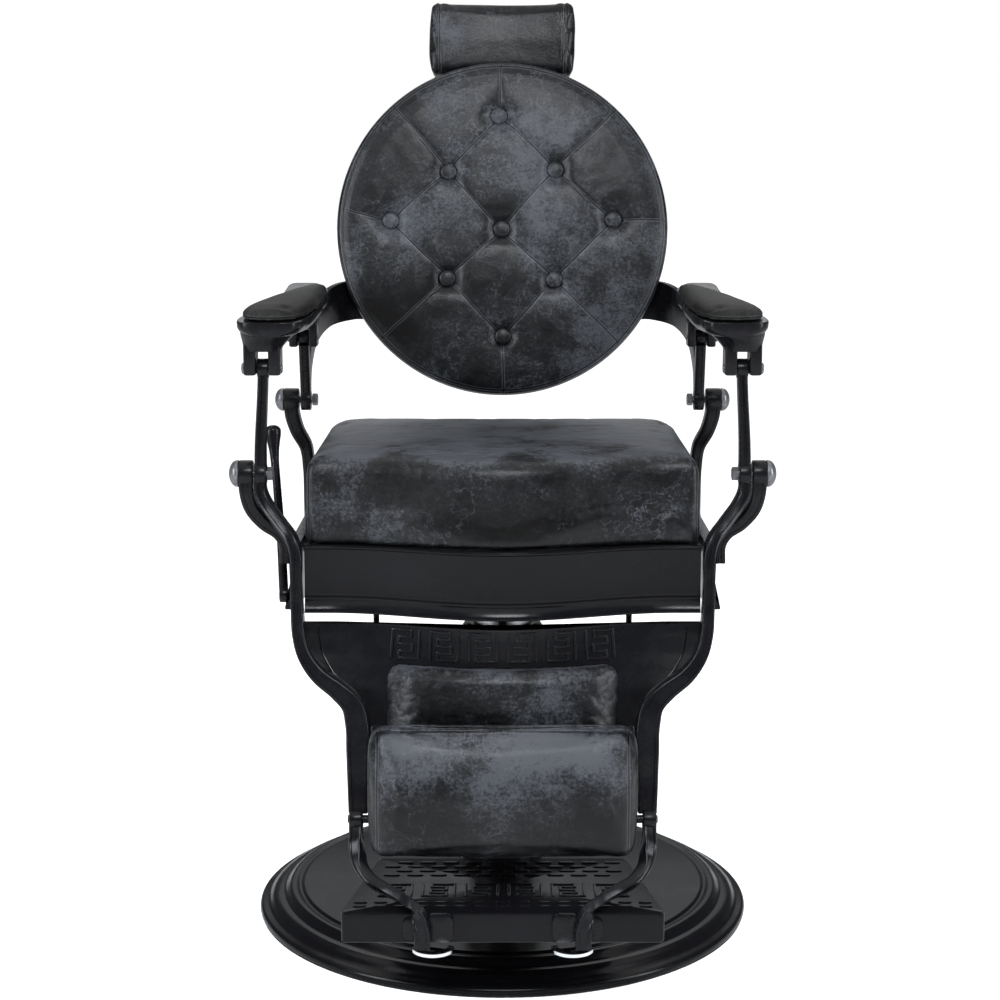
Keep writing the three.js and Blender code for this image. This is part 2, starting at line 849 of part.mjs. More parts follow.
function makeBack() {
  const towardsFront = (profile, segments) => turned(profile, segments).rotateX(Math.PI / 2);
  const cushion = [
    [0, -22],
    [240, -22],
    [246, -17],
    [BACK_RADIUS, -6],
    [247, 4],
    [240, 12],
    [215, 19],
    [150, 24],
    [0, 26],
  ];
  add("back_cushion", towardsFront(cushion, 36), LEATHER, back);
  const panel = [
    [0, -36],
    [226, -36],
    [234, -32],
    [236, -22 - GAP],
    [0, -22 - GAP],
  ];
  add("back_panel", towardsFront(panel, 32), LEATHER, back);
}

// ---- headrest: socket and lock knob on the back, bent stem, plate and pillow ----
const HEAD_HINGE = { y: 109, z: 262 };

function makeHeadrest() {
  const socket = block(-26, 26, 36 + GAP, 74, 60, 130);
  const slot = block(-15.8, 15.8, 49.2, 60.8, 50, 140);
  add("headrest_socket", cut(socket, slot), BLACK_PAINT, back);
  const knob = new THREE.CylinderGeometry(15, 13, 20, 12).translate(0, 84 + GAP, 95);
  add("headrest_knob", knob, RUBBER, back);
  const stem = bar({
    path: [
      [0, 55, -30],
      [0, 55, 120],
      [0, 56, 152],
      [0, 72, 184],
      [0, 102, 214],
      [0, 109, 232],
      [0, 109, 262],
    ],
    thickness: 30,
    depth: 10,
    steps: 11,
  });
  const eye = drumX(9, -14, 14, HEAD_HINGE, 14);
  const eyeHole = drumX(5, -20, 20, HEAD_HINGE, 10);
  add("headrest_stem", cut(join(stem, eye), eyeHole), CHROME, back);
  const plate = block(-85, 85, 85 + GAP, 89.5, 246, 334);
  const lugs = [-1, 1].map((side) => {
    const middle = side * 20;
    return block(middle - 3.5, middle + 3.5, 89, 118, 253, 272);
  });
  const pin = drumX(4.2, -22, 22, HEAD_HINGE, 12);
  add("headrest_plate", join(plate, ...lugs, pin), BLACK_PAINT, back);
  add("headrest_pad", makePillow(), LEATHER, back);
}

// A box pillow whose front is hollowed across its width.
function makePillow() {
  const across = 10;
  const levels = [
    [234, 8],
    [241, 2],
    [293, 0],
    [345, 2],
    [352, 8],
  ];
  const rings = levels.map(([z, inset]) => {
    const front = [];
    for (let i = 0; i <= across; i++) {
      const part = lerp(-1, 1, i / across);
      const hollow = 12 * (1 - part * part);
      front.push(vec(part * (HEADREST_HALF_WIDTH - inset), 27 + inset + hollow, z));
    }
    const rearHalf = HEADREST_HALF_WIDTH - 4 - inset;
    return [...front, vec(rearHalf, 85, z), vec(-rearHalf, 85, z)];
  });
  return loft(rings);
}

makeBase();
makePump();
makePedal();
makeSeatFrame();
makeApron();
makeSeatCushion();
makeHorns();
makePivotBolts();
makeReclineLever();
makeFrontLevers();
makeLegPanel();
makeCalfPad();
makeStepArms();
makeStepTread();
makeFlipRest();
makeArmrests();
makeBackLevers();
makeBack();
makeHeadrest();

export default chair;
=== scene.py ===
import json
import math
import bmesh
import bpy
import numpy as np
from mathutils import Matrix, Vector, noise


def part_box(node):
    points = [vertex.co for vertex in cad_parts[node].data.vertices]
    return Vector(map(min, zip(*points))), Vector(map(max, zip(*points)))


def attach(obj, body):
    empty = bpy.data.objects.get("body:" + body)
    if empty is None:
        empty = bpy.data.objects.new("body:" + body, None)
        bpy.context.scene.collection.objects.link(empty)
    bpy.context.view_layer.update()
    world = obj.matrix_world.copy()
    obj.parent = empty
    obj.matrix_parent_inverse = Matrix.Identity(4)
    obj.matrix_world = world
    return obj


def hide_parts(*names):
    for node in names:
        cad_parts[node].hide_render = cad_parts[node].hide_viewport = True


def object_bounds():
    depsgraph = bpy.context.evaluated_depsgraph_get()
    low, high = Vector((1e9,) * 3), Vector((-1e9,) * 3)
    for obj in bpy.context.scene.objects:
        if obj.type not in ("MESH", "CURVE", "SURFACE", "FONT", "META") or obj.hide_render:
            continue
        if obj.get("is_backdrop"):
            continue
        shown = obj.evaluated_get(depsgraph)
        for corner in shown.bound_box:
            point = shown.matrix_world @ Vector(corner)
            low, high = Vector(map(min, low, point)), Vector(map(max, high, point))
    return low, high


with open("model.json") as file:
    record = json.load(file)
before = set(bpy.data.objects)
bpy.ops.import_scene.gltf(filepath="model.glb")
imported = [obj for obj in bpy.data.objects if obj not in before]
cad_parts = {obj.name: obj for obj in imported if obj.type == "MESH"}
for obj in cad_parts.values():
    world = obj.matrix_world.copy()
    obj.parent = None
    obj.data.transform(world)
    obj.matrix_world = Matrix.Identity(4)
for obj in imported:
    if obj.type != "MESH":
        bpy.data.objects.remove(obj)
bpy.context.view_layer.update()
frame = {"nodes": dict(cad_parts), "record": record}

scene = bpy.context.scene
joints = {joint["name"]: joint for joint in frame["record"]["behaviour"]["joints"]}

# ---- Studio: camera, lights and floor ----
# A long lens at a standing customer's eye height. Soft boxes stand at both sides, above the front and
# behind, under an overhead sheet, and a pale floor runs into a pale surround.


def added(name, data):
    """A new object in the scene."""
    thing = bpy.data.objects.new(name, data)
    scene.collection.objects.link(thing)
    return thing


lens_data = bpy.data.cameras.new("studio_camera")
lens_data.sensor_width = 36
lens_data.lens = 71.35
camera = added("studio_camera", lens_data)
camera.location = (-0.0035, -2.8, 1.075)
camera.rotation_euler = (math.radians(90 - 9.62), 0, 0)
scene.camera = camera
scene.view_settings.view_transform = "Standard"
scene.view_settings.look = "None"


def soft_box(name, place, target, width, height, power, tint=(1, 1, 1)):
    light = bpy.data.lights.new(name, "AREA")
    light.shape = "RECTANGLE"
    light.size = width
    light.size_y = height
    light.energy = power
    light.color = tint
    lamp = added(name, light)
    lamp.location = place
    aim = Vector(target) - Vector(place)
    lamp.rotation_euler = aim.to_track_quat("-Z", "Y").to_euler()


soft_box("left_box", (-2.5, -1.5, 1.6), (0, 0, 0.8), 0.6, 2.0, 62, (0.9, 0.94, 1))
soft_box("right_box", (2.6, -1.2, 1.5), (0, 0, 0.8), 0.6, 2.0, 52, (0.9, 0.94, 1))
soft_box("front_top_box", (0.1, -2.6, 2.6), (0, -0.2, 0.6), 1.3, 0.5, 58, (0.93, 0.96, 1))
soft_box("back_box", (0, 2.4, 2.3), (0, 0, 0.9), 2.4, 1.0, 15)
soft_box("low_back_box", (0, 2.7, 1.35), (0, 0, 0.8), 3.0, 0.9, 5, (0.93, 0.96, 1))
sun_data = bpy.data.lights.new("overhead_sheet", "SUN")
sun_data.energy = 1.35
sun_data.angle = 1.4
sun = added("overhead_sheet", sun_data)
sun.location = (0, 0, 3)

world = bpy.data.worlds.new("pale_surround")
scene.world = world
world.use_nodes = True
sky = world.node_tree
shown = sky.nodes["Background"]
shown.inputs["Color"].default_value = (1, 1, 1, 1)
shown.inputs["Strength"].default_value = 1.0
lit = sky.nodes.new("ShaderNodeBackground")
lit.inputs["Color"].default_value = (0.93, 0.96, 1, 1)
lit.inputs["Strength"].default_value = 0.1
ray = sky.nodes.new("ShaderNodeLightPath")
choose = sky.nodes.new("ShaderNodeMixShader")
sky.links.new(ray.outputs["Is Camera Ray"], choose.inputs[0])
sky.links.new(lit.outputs[0], choose.inputs[1])
sky.links.new(shown.outputs[0], choose.inputs[2])
sky.links.new(choose.outputs[0], sky.nodes["World Output"].inputs["Surface"])

floor_mesh = bpy.data.meshes.new("studio_floor")
floor_half = 30.0
floor_mesh.from_pydata(
    [
        (-floor_half, -floor_half, 0), (floor_half, -floor_half, 0), (floor_half, floor_half, 0),
        (-floor_half, floor_half, 0)
    ],
    [],
    [(0, 1, 2, 3)],
)
floor = added("studio_floor", floor_mesh)
floor_paint = bpy.data.materials.new("pale_floor")
floor_paint.use_nodes = True
floor_shader = floor_paint.node_tree.nodes["Principled BSDF"]
floor_shader.inputs["Base Color"].default_value = (0.9, 0.9, 0.9, 1)
floor_shader.inputs["Roughness"].default_value = 0.9
floor_shader.inputs["Specular IOR Level"].default_value = 0.1
floor_shader.inputs["Emission Color"].default_value = (1, 1, 1, 1)
seen = floor_paint.node_tree.nodes.new("ShaderNodeLightPath")
glow = floor_paint.node_tree.nodes.new("ShaderNodeMath")
glow.operation = "MULTIPLY"
glow.inputs[1].default_value = 0.72
floor_paint.node_tree.links.new(seen.outputs["Is Camera Ray"], glow.inputs[0])
floor_paint.node_tree.links.new(glow.outputs[0], floor_shader.inputs["Emission Strength"])
floor_mesh.materials.append(floor_paint)
floor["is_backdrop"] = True

# ---- Ringed base ----
# A pressed steel dish with stepped round rings, painted satin black, on a rubber ring.
# It is turned about the lift column's axis.
MM = 0.001


def new_material(name):
    material = bpy.data.materials.new(name)
    material.use_nodes = True
    return material, material.node_tree, material.node_tree.nodes["Principled BSDF"]


def noise_node(tree, scale, detail, roughness=0.55, stretch=None):
    place = tree.nodes.new("ShaderNodeTexCoord").outputs["Object"]
    if stretch:
        turn = tree.nodes.new("ShaderNodeMapping")
        turn.inputs["Scale"].default_value = stretch
        tree.links.new(place, turn.inputs["Vector"])
        place = turn.outputs["Vector"]
    cloud = tree.nodes.new("ShaderNodeTexNoise")
    cloud.inputs["Scale"].default_value = scale
    cloud.inputs["Detail"].default_value = detail
    cloud.inputs["Roughness"].default_value = roughness
    tree.links.new(place, cloud.inputs["Vector"])
    return cloud.outputs["Fac"]


def ramp_node(tree, value, stops):
    ramp = tree.nodes.new("ShaderNodeValToRGB")
    bars = ramp.color_ramp.elements
    while len(bars) < len(stops):
        bars.new(0.5)
    for bar, (place, tone) in zip(bars, stops):
        bar.position = place
        bar.color = (*tone, 1) if isinstance(tone, tuple) else (tone, tone, tone, 1)
    tree.links.new(value, ramp.inputs["Fac"])
    return ramp.outputs["Color"]


def bump_node(tree, height, strength, distance, under=None):
    bump = tree.nodes.new("ShaderNodeBump")
    bump.inputs["Strength"].default_value = strength
    bump.inputs["Distance"].default_value = distance
    tree.links.new(height, bump.inputs["Height"])
    if under:
        tree.links.new(under, bump.inputs["Normal"])
    return bump.outputs["Normal"]


def mottled(name, scale, detail, stops, roughness, metallic=0, grain=0.55, stretch=None):
    """A finish whose colour drifts between the ramp's stops."""
    material, tree, shader = new_material(name)
    tones = ramp_node(tree, noise_node(tree, scale, detail, grain, stretch), stops)
    tree.links.new(tones, shader.inputs["Base Color"])
    shader.inputs["Roughness"].default_value = roughness
    shader.inputs["Metallic"].default_value = metallic
    return material


def satin_paint(name, tone, shine, specular=0.16):
    material, tree, shader = new_material(name)
    patches = noise_node(tree, 7, 4)
    darker = tuple(0.75 * part for part in tone)
    tree.links.new(ramp_node(tree, patches, [(0.35, darker), (0.7, tone)]), shader.inputs["Base Color"])
    gloss = ramp_node(tree, noise_node(tree, 38, 6, 0.65), [(0.3, shine - 0.05), (0.75, shine + 0.08)])
    tree.links.new(gloss, shader.inputs["Roughness"])
    peel = bump_node(tree, noise_node(tree, 900, 2), 0.08, 0.0004)
    shader.inputs["Specular IOR Level"].default_value = specular
    tree.links.new(bump_node(tree, noise_node(tree, 60, 3), 0.05, 0.002, peel), shader.inputs["Normal"])
    return material


black_paint = satin_paint("black_paint", (0.0065, 0.0065, 0.008), 0.26, 0.2)
gloss_paint = satin_paint("gloss_paint", (0.0055, 0.0055, 0.0068), 0.20, 0.17)


def shell(rings, closed_ends=True):
    """Vertices and faces of a skin through rings of points, each ring closed on itself."""
    rings = np.asarray(rings, float)
    count, size, _ = rings.shape
    verts = list(map(tuple, rings.reshape(-1, 3)))
    faces = []
    for i in range(count - 1):
        for j in range(size):
            k = (j + 1) % size
            faces.append((i * size + j, i * size + k, (i + 1) * size + k, (i + 1) * size + j))
    if closed_ends:
        for row in (0, count - 1):
            verts.append(tuple(rings[row].mean(axis=0)))
            hub = len(verts) - 1
            faces += [(row * size + j, row * size + (j + 1) % size, hub) for j in range(size)]
    return verts, faces


def revolve(profile, segments):
    """A turned skin about Z from [radius, height] points that start and end on the axis or close."""
    angles = np.linspace(0, 2 * math.pi, segments, endpoint=False)
    rings = [[(r * math.cos(a), r * math.sin(a), h) for a in angles] for r, h in profile]
    return shell(rings, closed_ends=False)


def moved(part, turn=None, shift=(0, 0, 0)):
    verts, faces = part
    points = np.asarray(verts, float)
    if turn is not None:
        points = points @ np.asarray(turn, float).T
    return [tuple(p) for p in points + np.asarray(shift, float)], faces


def faced_out(mesh, merge=0.0):
    """Merges the mesh's doubles where asked, and turns its faces outwards."""
    skin = bmesh.new()
    skin.from_mesh(mesh)
    if merge:
        bmesh.ops.remove_doubles(skin, verts=skin.verts, dist=merge)
    bmesh.ops.recalc_face_normals(skin, faces=skin.faces)
    skin.to_mesh(mesh)
    skin.free()


def placed(name, mesh, material, body, nodes, crease):
    """The finished mesh as an object, with its material, body and the CAD nodes it stands for."""
    mesh.shade_smooth()
    mesh.set_sharp_from_angle(angle=math.radians(crease))
    mesh.materials.clear()
    mesh.materials.append(material)
    piece = added(name, mesh)
    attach(piece, body)
    if nodes:
        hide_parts(*nodes)
    return piece


def make_piece(name, parts, material, body, nodes=(), crease=38, side=1):
    """One object from closed skins in millimetres; side -1 is the mirror image of the +X piece."""
    verts, faces = [], []
    for part_verts, part_faces in parts:
        faces += [tuple(i + len(verts) for i in face) for face in part_faces]
        verts += part_verts
    mesh = bpy.data.meshes.new(name)
    mesh.from_pydata([(side * x * MM, y * MM, z * MM) for x, y, z in verts], [], faces)
    faced_out(mesh, 2e-6)
    return placed(name, mesh, material, body, nodes, crease)


def rounded(points, radius, steps=4):
    """A profile with its corners rounded; the end points stay."""
    points = [np.asarray(p, float) for p in points]
    out = [points[0]]
    for before, corner, after in zip(points, points[1:], points[2:]):
        reach_in = min(radius, 0.45 * np.linalg.norm(before - corner))
        reach_out = min(radius, 0.45 * np.linalg.norm(after - corner))
        start = corner + (before - corner) / max(np.linalg.norm(before - corner), 1e-9) * reach_in
        end = corner + (after - corner) / max(np.linalg.norm(after - corner), 1e-9) * reach_out
        for t in np.linspace(0, 1, steps):
            out.append((1 - t) ** 2 * start + 2 * t * (1 - t) * corner + t**2 * end)
    return out + [points[-1]]


base_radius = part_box("base_shell")[1].x / MM
base_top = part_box("base_shell")[1].z / MM
base_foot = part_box("base_shell")[0].z / MM
rings_out = [(0, base_top), (base_radius - 64, base_top), (base_radius - 61, base_top - 3.5)]
rings_out += [(base_radius - 57, base_top - 3.2), (base_radius - 53, base_top - 0.8)]
rings_out += [(base_radius - 46, base_top - 1.2), (base_radius - 40, base_top - 7)]
rings_out += [(base_radius - 36, base_top - 11), (base_radius - 29, base_top - 11.2)]
rings_out += [(base_radius - 20, base_top - 15), (base_radius - 14, base_top - 22)]
rings_out += [(base_radius - 9, base_top - 23.5), (base_radius - 2, base_top - 25.5)]
rings_out += [(base_radius, base_top - 29), (base_radius, base_foot), (base_radius - 6, base_foot)]
under = [(base_radius - 8, base_foot + 6), (base_radius - 40, base_top - 16), (0, base_top - 5)]
base = revolve(rounded(rings_out + under, 3.0), 180)
make_piece("base_dish", [base], gloss_paint, "base", ["base_shell"], 50)

rubber = mottled("floor_rubber", 90, 4, [(0.3, (0.008, 0.008, 0.008)), (0.8, (0.02, 0.02, 0.02))], 0.8)
tree = rubber.node_tree
rubber_grain = bump_node(tree, noise_node(tree, 700, 3), 0.3, 0.0005)
tree.links.new(rubber_grain, tree.nodes["Principled BSDF"].inputs["Normal"])
ring_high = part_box("floor_ring")[1]
ring_out, ring_top = ring_high.x / MM, ring_high.z / MM
ring_line = [(ring_out - 29, 0), (ring_out, 0), (ring_out, ring_top), (ring_out - 29, ring_top)]
ring_part = revolve(ring_line + ring_line[:1], 180)
make_piece("floor_seal", [ring_part], rubber, "base", ["floor_ring"])

steel = mottled("plain_steel", 40, 5, [(0.3, 0.3), (0.8, 0.5)], 0.38, 1, stretch=(1, 1, 12))


def finish_node(node, material):
    """Gives a CAD node that stays in view its finish."""
    mesh = frame["nodes"][node].data
    mesh.materials.clear()
    mesh.materials.append(material)


finish_node("base_bottom_plate", steel)

# ---- Pump, gland nut, flange bolts and piston ----
# A black hydraulic cylinder bolted to the dish by four hex bolts. A polished piston slides in its gland.
chrome = mottled("chrome_plate", 20, 3, [(0.3, (0.78, 0.79, 0.81)), (0.7, (0.86, 0.86, 0.87))], 0.12, 1)
piston_low, piston_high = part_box("piston")
piston_radius = piston_high.x / MM
piston_line = [(0, piston_low.z / MM), (piston_radius, piston_low.z / MM)]
piston_line += [(piston_radius, piston_high.z / MM), (0, piston_high.z / MM)]
make_piece("piston_rod", [revolve(rounded(piston_line, 2), 64)], chrome, "lift", ["piston"])

pump_low, pump_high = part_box("pump_body")
flange, pump_foot, pump_top = pump_high.x / MM, pump_low.z / MM, pump_high.z / MM
pump_radius = flange - 37
bore = piston_radius + 1.6
pump_line = [
    (0, pump_foot), (flange, pump_foot), (flange, pump_foot + 11.7), (pump_radius + 8, pump_foot + 11.7)
]
pump_line += [(pump_radius, pump_foot + 22), (pump_radius, pump_top - 40), (pump_radius + 3, pump_top - 38)]
pump_line += [(pump_radius + 3, pump_top - 28), (pump_radius, pump_top - 26), (pump_radius, pump_top - 6)]
pump_line += [(pump_radius - 6, pump_top), (bore, pump_top), (bore, pump_foot + 42), (0, pump_foot + 42)]


def rounded_ring(half_x, half_y, radius, z=0.0, corner_steps=5):
    """A rounded oblong as a ring of points in the XY plane."""
    radius = min(radius, half_x - 1e-3, half_y - 1e-3)
    ring = []
    for quarter, (sx, sy) in enumerate([(1, 1), (-1, 1), (-1, -1), (1, -1)]):
        for step in range(corner_steps + 1):
            angle = (quarter + step / corner_steps) * math.pi / 2
            x = sx * (half_x - radius) + radius * math.cos(angle)
            y = sy * (half_y - radius) + radius * math.sin(angle)
            ring.append((x, y, z))
    return ring


def eased_block(x0, x1, y0, y1, z0, z1, ease):
    """A block with eased edges, between two corners."""
    half_x, half_y = (x1 - x0) / 2, (y1 - y0) / 2
    levels = [(ease, z0), (0.3 * ease, z0 + 0.3 * ease), (0, z0 + ease)]
    levels += [(0, z1 - ease), (0.3 * ease, z1 - 0.3 * ease), (ease, z1)]
    rings = [rounded_ring(half_x - inset, half_y - inset, ease + 0.2, z) for inset, z in levels]
    return moved(shell(rings), shift=((x0 + x1) / 2, (y0 + y1) / 2, 0))


def pivot(joint):
    """The y and z of a joint's axis in mm."""
    return [1000 * part for part in joints[joint]["pos_m"][1:]]


pedal_y, pedal_z = pivot("pedal_press")
lug = eased_block(-9, 9, pump_radius - 8, pedal_y + 14, pedal_z - 13, pedal_z + 13, 2)
pump_parts = [revolve(rounded(pump_line, 2.5), 96), lug]
make_piece("pump_housing", pump_parts, black_paint, "base", ["pump_body"])
nut_low, nut_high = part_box("gland_nut")
nut_foot, nut_top, nut_radius = nut_low.z / MM, nut_high.z / MM, nut_high.x / MM
nut_line = [(bore, nut_foot), (nut_radius, nut_foot), (nut_radius, nut_top - 6), (nut_radius - 6, nut_top)]
nut_line += [(bore, nut_top), (bore, nut_foot)]
make_piece("gland_ring", [revolve(nut_line, 96)], steel, "base", ["gland_nut"])


def copies(name, seed_piece, places, turns, sizes, material, body, nodes=(), crease=38):
    """One piece from copies of a seed mesh set on points by a Geometry Nodes tree."""
    mesh = bpy.data.meshes.new(name + "_points")
    mesh.from_pydata([tuple(np.asarray(p, float) * MM) for p in places], [], [])
    for attribute, rows in (("turn", turns), ("size", sizes)):
        made_for = mesh.attributes.new(attribute, "FLOAT_VECTOR", "POINT")
        made_for.data.foreach_set("vector", np.asarray(rows, np.float32).ravel())
    holder = added(name + "_points", mesh)
    verts, faces = seed_piece
    seed_mesh = bpy.data.meshes.new(name + "_seed")
    seed_mesh.from_pydata([tuple(np.asarray(p, float) * MM) for p in verts], [], faces)
    seed = added(name + "_seed", seed_mesh)

    tree = bpy.data.node_groups.new(name + "_tree", "GeometryNodeTree")
    face = tree.interface
    face.new_socket("Geometry", in_out="INPUT", socket_type="NodeSocketGeometry")
    picked = face.new_socket("Seed", in_out="INPUT", socket_type="NodeSocketObject")
    grow = face.new_socket("Overall Size", in_out="INPUT", socket_type="NodeSocketFloat")
    face.new_socket("Geometry", in_out="OUTPUT", socket_type="NodeSocketGeometry")
    start = tree.nodes.new("NodeGroupInput")
    info = tree.nodes.new("GeometryNodeObjectInfo")
    place = tree.nodes.new("GeometryNodeInstanceOnPoints")
    real = tree.nodes.new("GeometryNodeRealizeInstances")
    coat = tree.nodes.new("GeometryNodeSetMaterial")
    end = tree.nodes.new("NodeGroupOutput")
    reads = []
    for attribute in ("turn", "size"):
        read = tree.nodes.new("GeometryNodeInputNamedAttribute")
        read.data_type = "FLOAT_VECTOR"
        read.inputs["Name"].default_value = attribute
        reads.append(read)
    scaled = tree.nodes.new("ShaderNodeVectorMath")
    scaled.operation = "SCALE"
    coat.inputs["Material"].default_value = material
    link = tree.links.new
    link(start.outputs["Geometry"], place.inputs["Points"])
    link(start.outputs["Seed"], info.inputs["Object"])
    link(info.outputs["Geometry"], place.inputs["Instance"])
    link(reads[0].outputs["Attribute"], place.inputs["Rotation"])
    link(reads[1].outputs["Attribute"], scaled.inputs[0])
    link(start.outputs["Overall Size"], scaled.inputs["Scale"])
    link(scaled.outputs["Vector"], place.inputs["Scale"])
    link(place.outputs["Instances"], real.inputs["Geometry"])
    link(real.outputs["Geometry"], coat.inputs["Geometry"])
    link(coat.outputs["Geometry"], end.inputs["Geometry"])

    maker = holder.modifiers.new("copies", "NODES")
    maker.node_group = tree
    maker[picked.identifier] = seed
    maker[grow.identifier] = 1.0
    depsgraph = bpy.context.evaluated_depsgraph_get()
    made = bpy.data.meshes.new_from_object(holder.evaluated_get(depsgraph))
    made.name = name
    holder.modifiers.remove(maker)
    for spare in (holder, seed):
        bpy.data.objects.remove(spare)
    for spare_name in ("turn", "size"):
        if spare_name in made.attributes:
            made.attributes.remove(made.attributes[spare_name])
    faced_out(made, 1e-6)
    return placed(name, made, material, body, nodes, crease)


hex_head = revolve([(0, 0), (9, 0), (9, 6.2), (8, 7.7), (0, 7.7)], 6)
washer = revolve([(0, 0), (11, 0), (11, 1.4), (0, 1.4)], 28)
bolt_seed = (
    [*hex_head[0], *washer[0]], hex_head[1] + [tuple(i + len(hex_head[0]) for i in f) for f in washer[1]]
)
bolt_spots = [
    (80 * math.cos(a), 80 * math.sin(a), pump_foot + 12) for a in np.arange(4) * math.pi / 2 + math.pi / 4
]
bolt_nodes = ["base_bolt_%d" % number for number in range(1, 5)]
copies(
    "flange_bolts", bolt_seed, bolt_spots, [(0, 0, 0)] * 4, [(1, 1, 1)] * 4, steel, "base",
    bolt_nodes, 25
)

# ---- Pump pedal ----
# A forged arm on a cross pin behind the pump, with a ribbed rubber foot pad.


def box_mm(node):
    """The low and high corners of a CAD node's box in mm."""
    return [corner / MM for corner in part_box(node)]


pad_low, pad_high = box_mm("pedal_pad")


def along(values, u):
    """The value at u, 0 to 1, of numbers spread evenly."""
    if np.isscalar(values):
        return values
    return float(np.interp(u * (len(values) - 1), range(len(values)), values))


def smooth_path(points, count):
    """Evenly stepped points on a centripetal Catmull-Rom curve through the given ones, with tangents."""
    points = np.asarray(points, float)
    padded = np.vstack([2 * points[0] - points[1], points, 2 * points[-1] - points[-2]])
    out = []
    for step in np.linspace(0, len(points) - 1, count):
        i = min(int(step), len(points) - 2)
        p0, p1, p2, p3 = padded[i : i + 4]
        t0 = 0.0
        t1 = t0 + math.sqrt(max(np.linalg.norm(p1 - p0), 1e-6))
        t2 = t1 + math.sqrt(max(np.linalg.norm(p2 - p1), 1e-6))
        t3 = t2 + math.sqrt(max(np.linalg.norm(p3 - p2), 1e-6))
        t = t1 + (step - i) * (t2 - t1)
        a1 = (t1 - t) / (t1 - t0) * p0 + (t - t0) / (t1 - t0) * p1
        a2 = (t2 - t) / (t2 - t1) * p1 + (t - t1) / (t2 - t1) * p2
        a3 = (t3 - t) / (t3 - t2) * p2 + (t - t2) / (t3 - t2) * p3
        b1 = (t2 - t) / (t2 - t0) * a1 + (t - t0) / (t2 - t0) * a2
        b2 = (t3 - t) / (t3 - t1) * a2 + (t - t1) / (t3 - t1) * a3
        out.append((t2 - t) / (t2 - t1) * b1 + (t - t1) / (t2 - t1) * b2)
    out = np.array(out)
    return out, np.gradient(out, axis=0)


def ribbed_section(half_w, half_d, ease, bead, sink):
    """A cast bar's section: eased corners and a raised bead along both edges of its broad faces."""
    ring = []
    inner = max(half_w - ease - bead, 0.2)
    for face in (1, -1):
        arc = [math.radians(a) for a in (0, 30, 60, 90)]
        ring += [
            (face * (half_w - ease + ease * math.cos(a)), face * (half_d - ease + ease * math.sin(a)))
            for a in arc
        ]
        ring += [(face * inner, face * half_d), (face * (inner - 0.7), face * (half_d - sink))]
        ring += [(-face * (inner - 0.7), face * (half_d - sink)), (-face * inner, face * half_d)]
        ring += [
            (-face * (half_w - ease + ease * math.cos(a)), face * (half_d - ease + ease * math.sin(a)))
            for a in arc[::-1]
        ]
    return ring


def cast_bar(path, thickness, depth, hints=((0, 1, 0),), count=80, ease=2.0, bead=2.2, sink=0.9):
    """A cast bar along a path; depth runs along the hint direction and thickness across it."""
    centre, tangents = smooth_path(path, count)
    rings = []
    for i in range(count):
        u = i / (count - 1)
        t = tangents[i] / np.linalg.norm(tangents[i])
        hint = np.array([along([h[axis] for h in (*hints, hints[-1])], u) for axis in range(3)])
        d = hint - t * hint.dot(t)
        d /= np.linalg.norm(d)
        w = np.cross(t, d)
        half_w, half_d = along(thickness, u) / 2, along(depth, u) / 2
        section = ribbed_section(half_w, half_d, min(ease, half_w * 0.45, half_d * 0.45), bead, sink)
        rings.append([centre[i] + w * a + d * b for a, b in section])
    return shell(rings)


def drum(axis_place, x0, x1, radius, ease=1.2, segments=48, bore_radius=0):
    """A turned drum or eye about an X axis through (y, z), with eased rims."""
    line = [(bore_radius, x0), (radius, x0), (radius, x1), (bore_radius, x1)]
    line = rounded(line, ease, 3)
    if bore_radius:
        line = line + line[:1]
    turn = [(0, 0, 1), (0, 1, 0), (-1, 0, 0)]
    return moved(revolve(line, segments), turn, (0, axis_place[0], axis_place[1]))


pedal_path = [(0, 106, 71), (0, 250, 76), (0, 402, 80)]
pedal_parts = [cast_bar(pedal_path, 26, 10, ((0, 0, 1),), 40)]
pedal_parts += [eased_block(side * 13.5 - 3.5, side * 13.5 + 3.5, 76, 116, 62, 80, 1.5) for side in (-1, 1)]
pedal_parts += [drum((pedal_y, pedal_z), -17, 17, 5)]
pedal_parts += [
    eased_block(pad_low.x + 3, pad_high.x - 3, pad_low.y + 2, pad_high.y - 3, 78, pad_low.z - 0.3, 2.5)
]
make_piece("pedal_arm", pedal_parts, black_paint, "pedal", ["pedal_lever"])
pad_parts = [eased_block(pad_low.x, pad_high.x, pad_low.y, pad_high.y, pad_low.z, pad_high.z - 2, 2)]
rib_pitch = (pad_high.x - pad_low.x) / 9
for number in range(8):
    rib = pad_low.x + rib_pitch * (number + 0.75)
    pad_parts.append(
        eased_block(rib, rib + 4.5, pad_low.y + 4, pad_high.y - 4, pad_high.z - 3, pad_high.z, 0.8)
    )
make_piece("pedal_tread", pad_parts, rubber, "pedal", ["pedal_pad"])

# ---- Seat frame: hub, spider plate, board, rods and strut ----
# A black casting on the piston's head carries a plywood board. Two thin rods and a flat strut hang below.
hub_low, hub_high = box_mm("spider_plate")
hub_line = [(0, hub_high.z - 4), (45, hub_high.z - 4), (45, hub_low.z + 8), (38, hub_low.z)]
hub_line += [(piston_radius + 0.6, hub_low.z), (piston_radius + 0.6, 521), (0, 521)]
plate = eased_block(hub_low.x, hub_high.x, hub_low.y, hub_high.y, hub_high.z - 8, hub_high.z, 3)
frame_parts = [revolve(rounded(hub_line, 2), 64), plate]
for side in (-1, 1):
    frame_parts.append(
        eased_block(side * 110 - 4, side * 110 + 4, hub_low.y + 8, hub_high.y - 8, 542, 556, 2)
    )
make_piece("seat_spider", frame_parts, black_paint, "seat", ["spider_plate"])

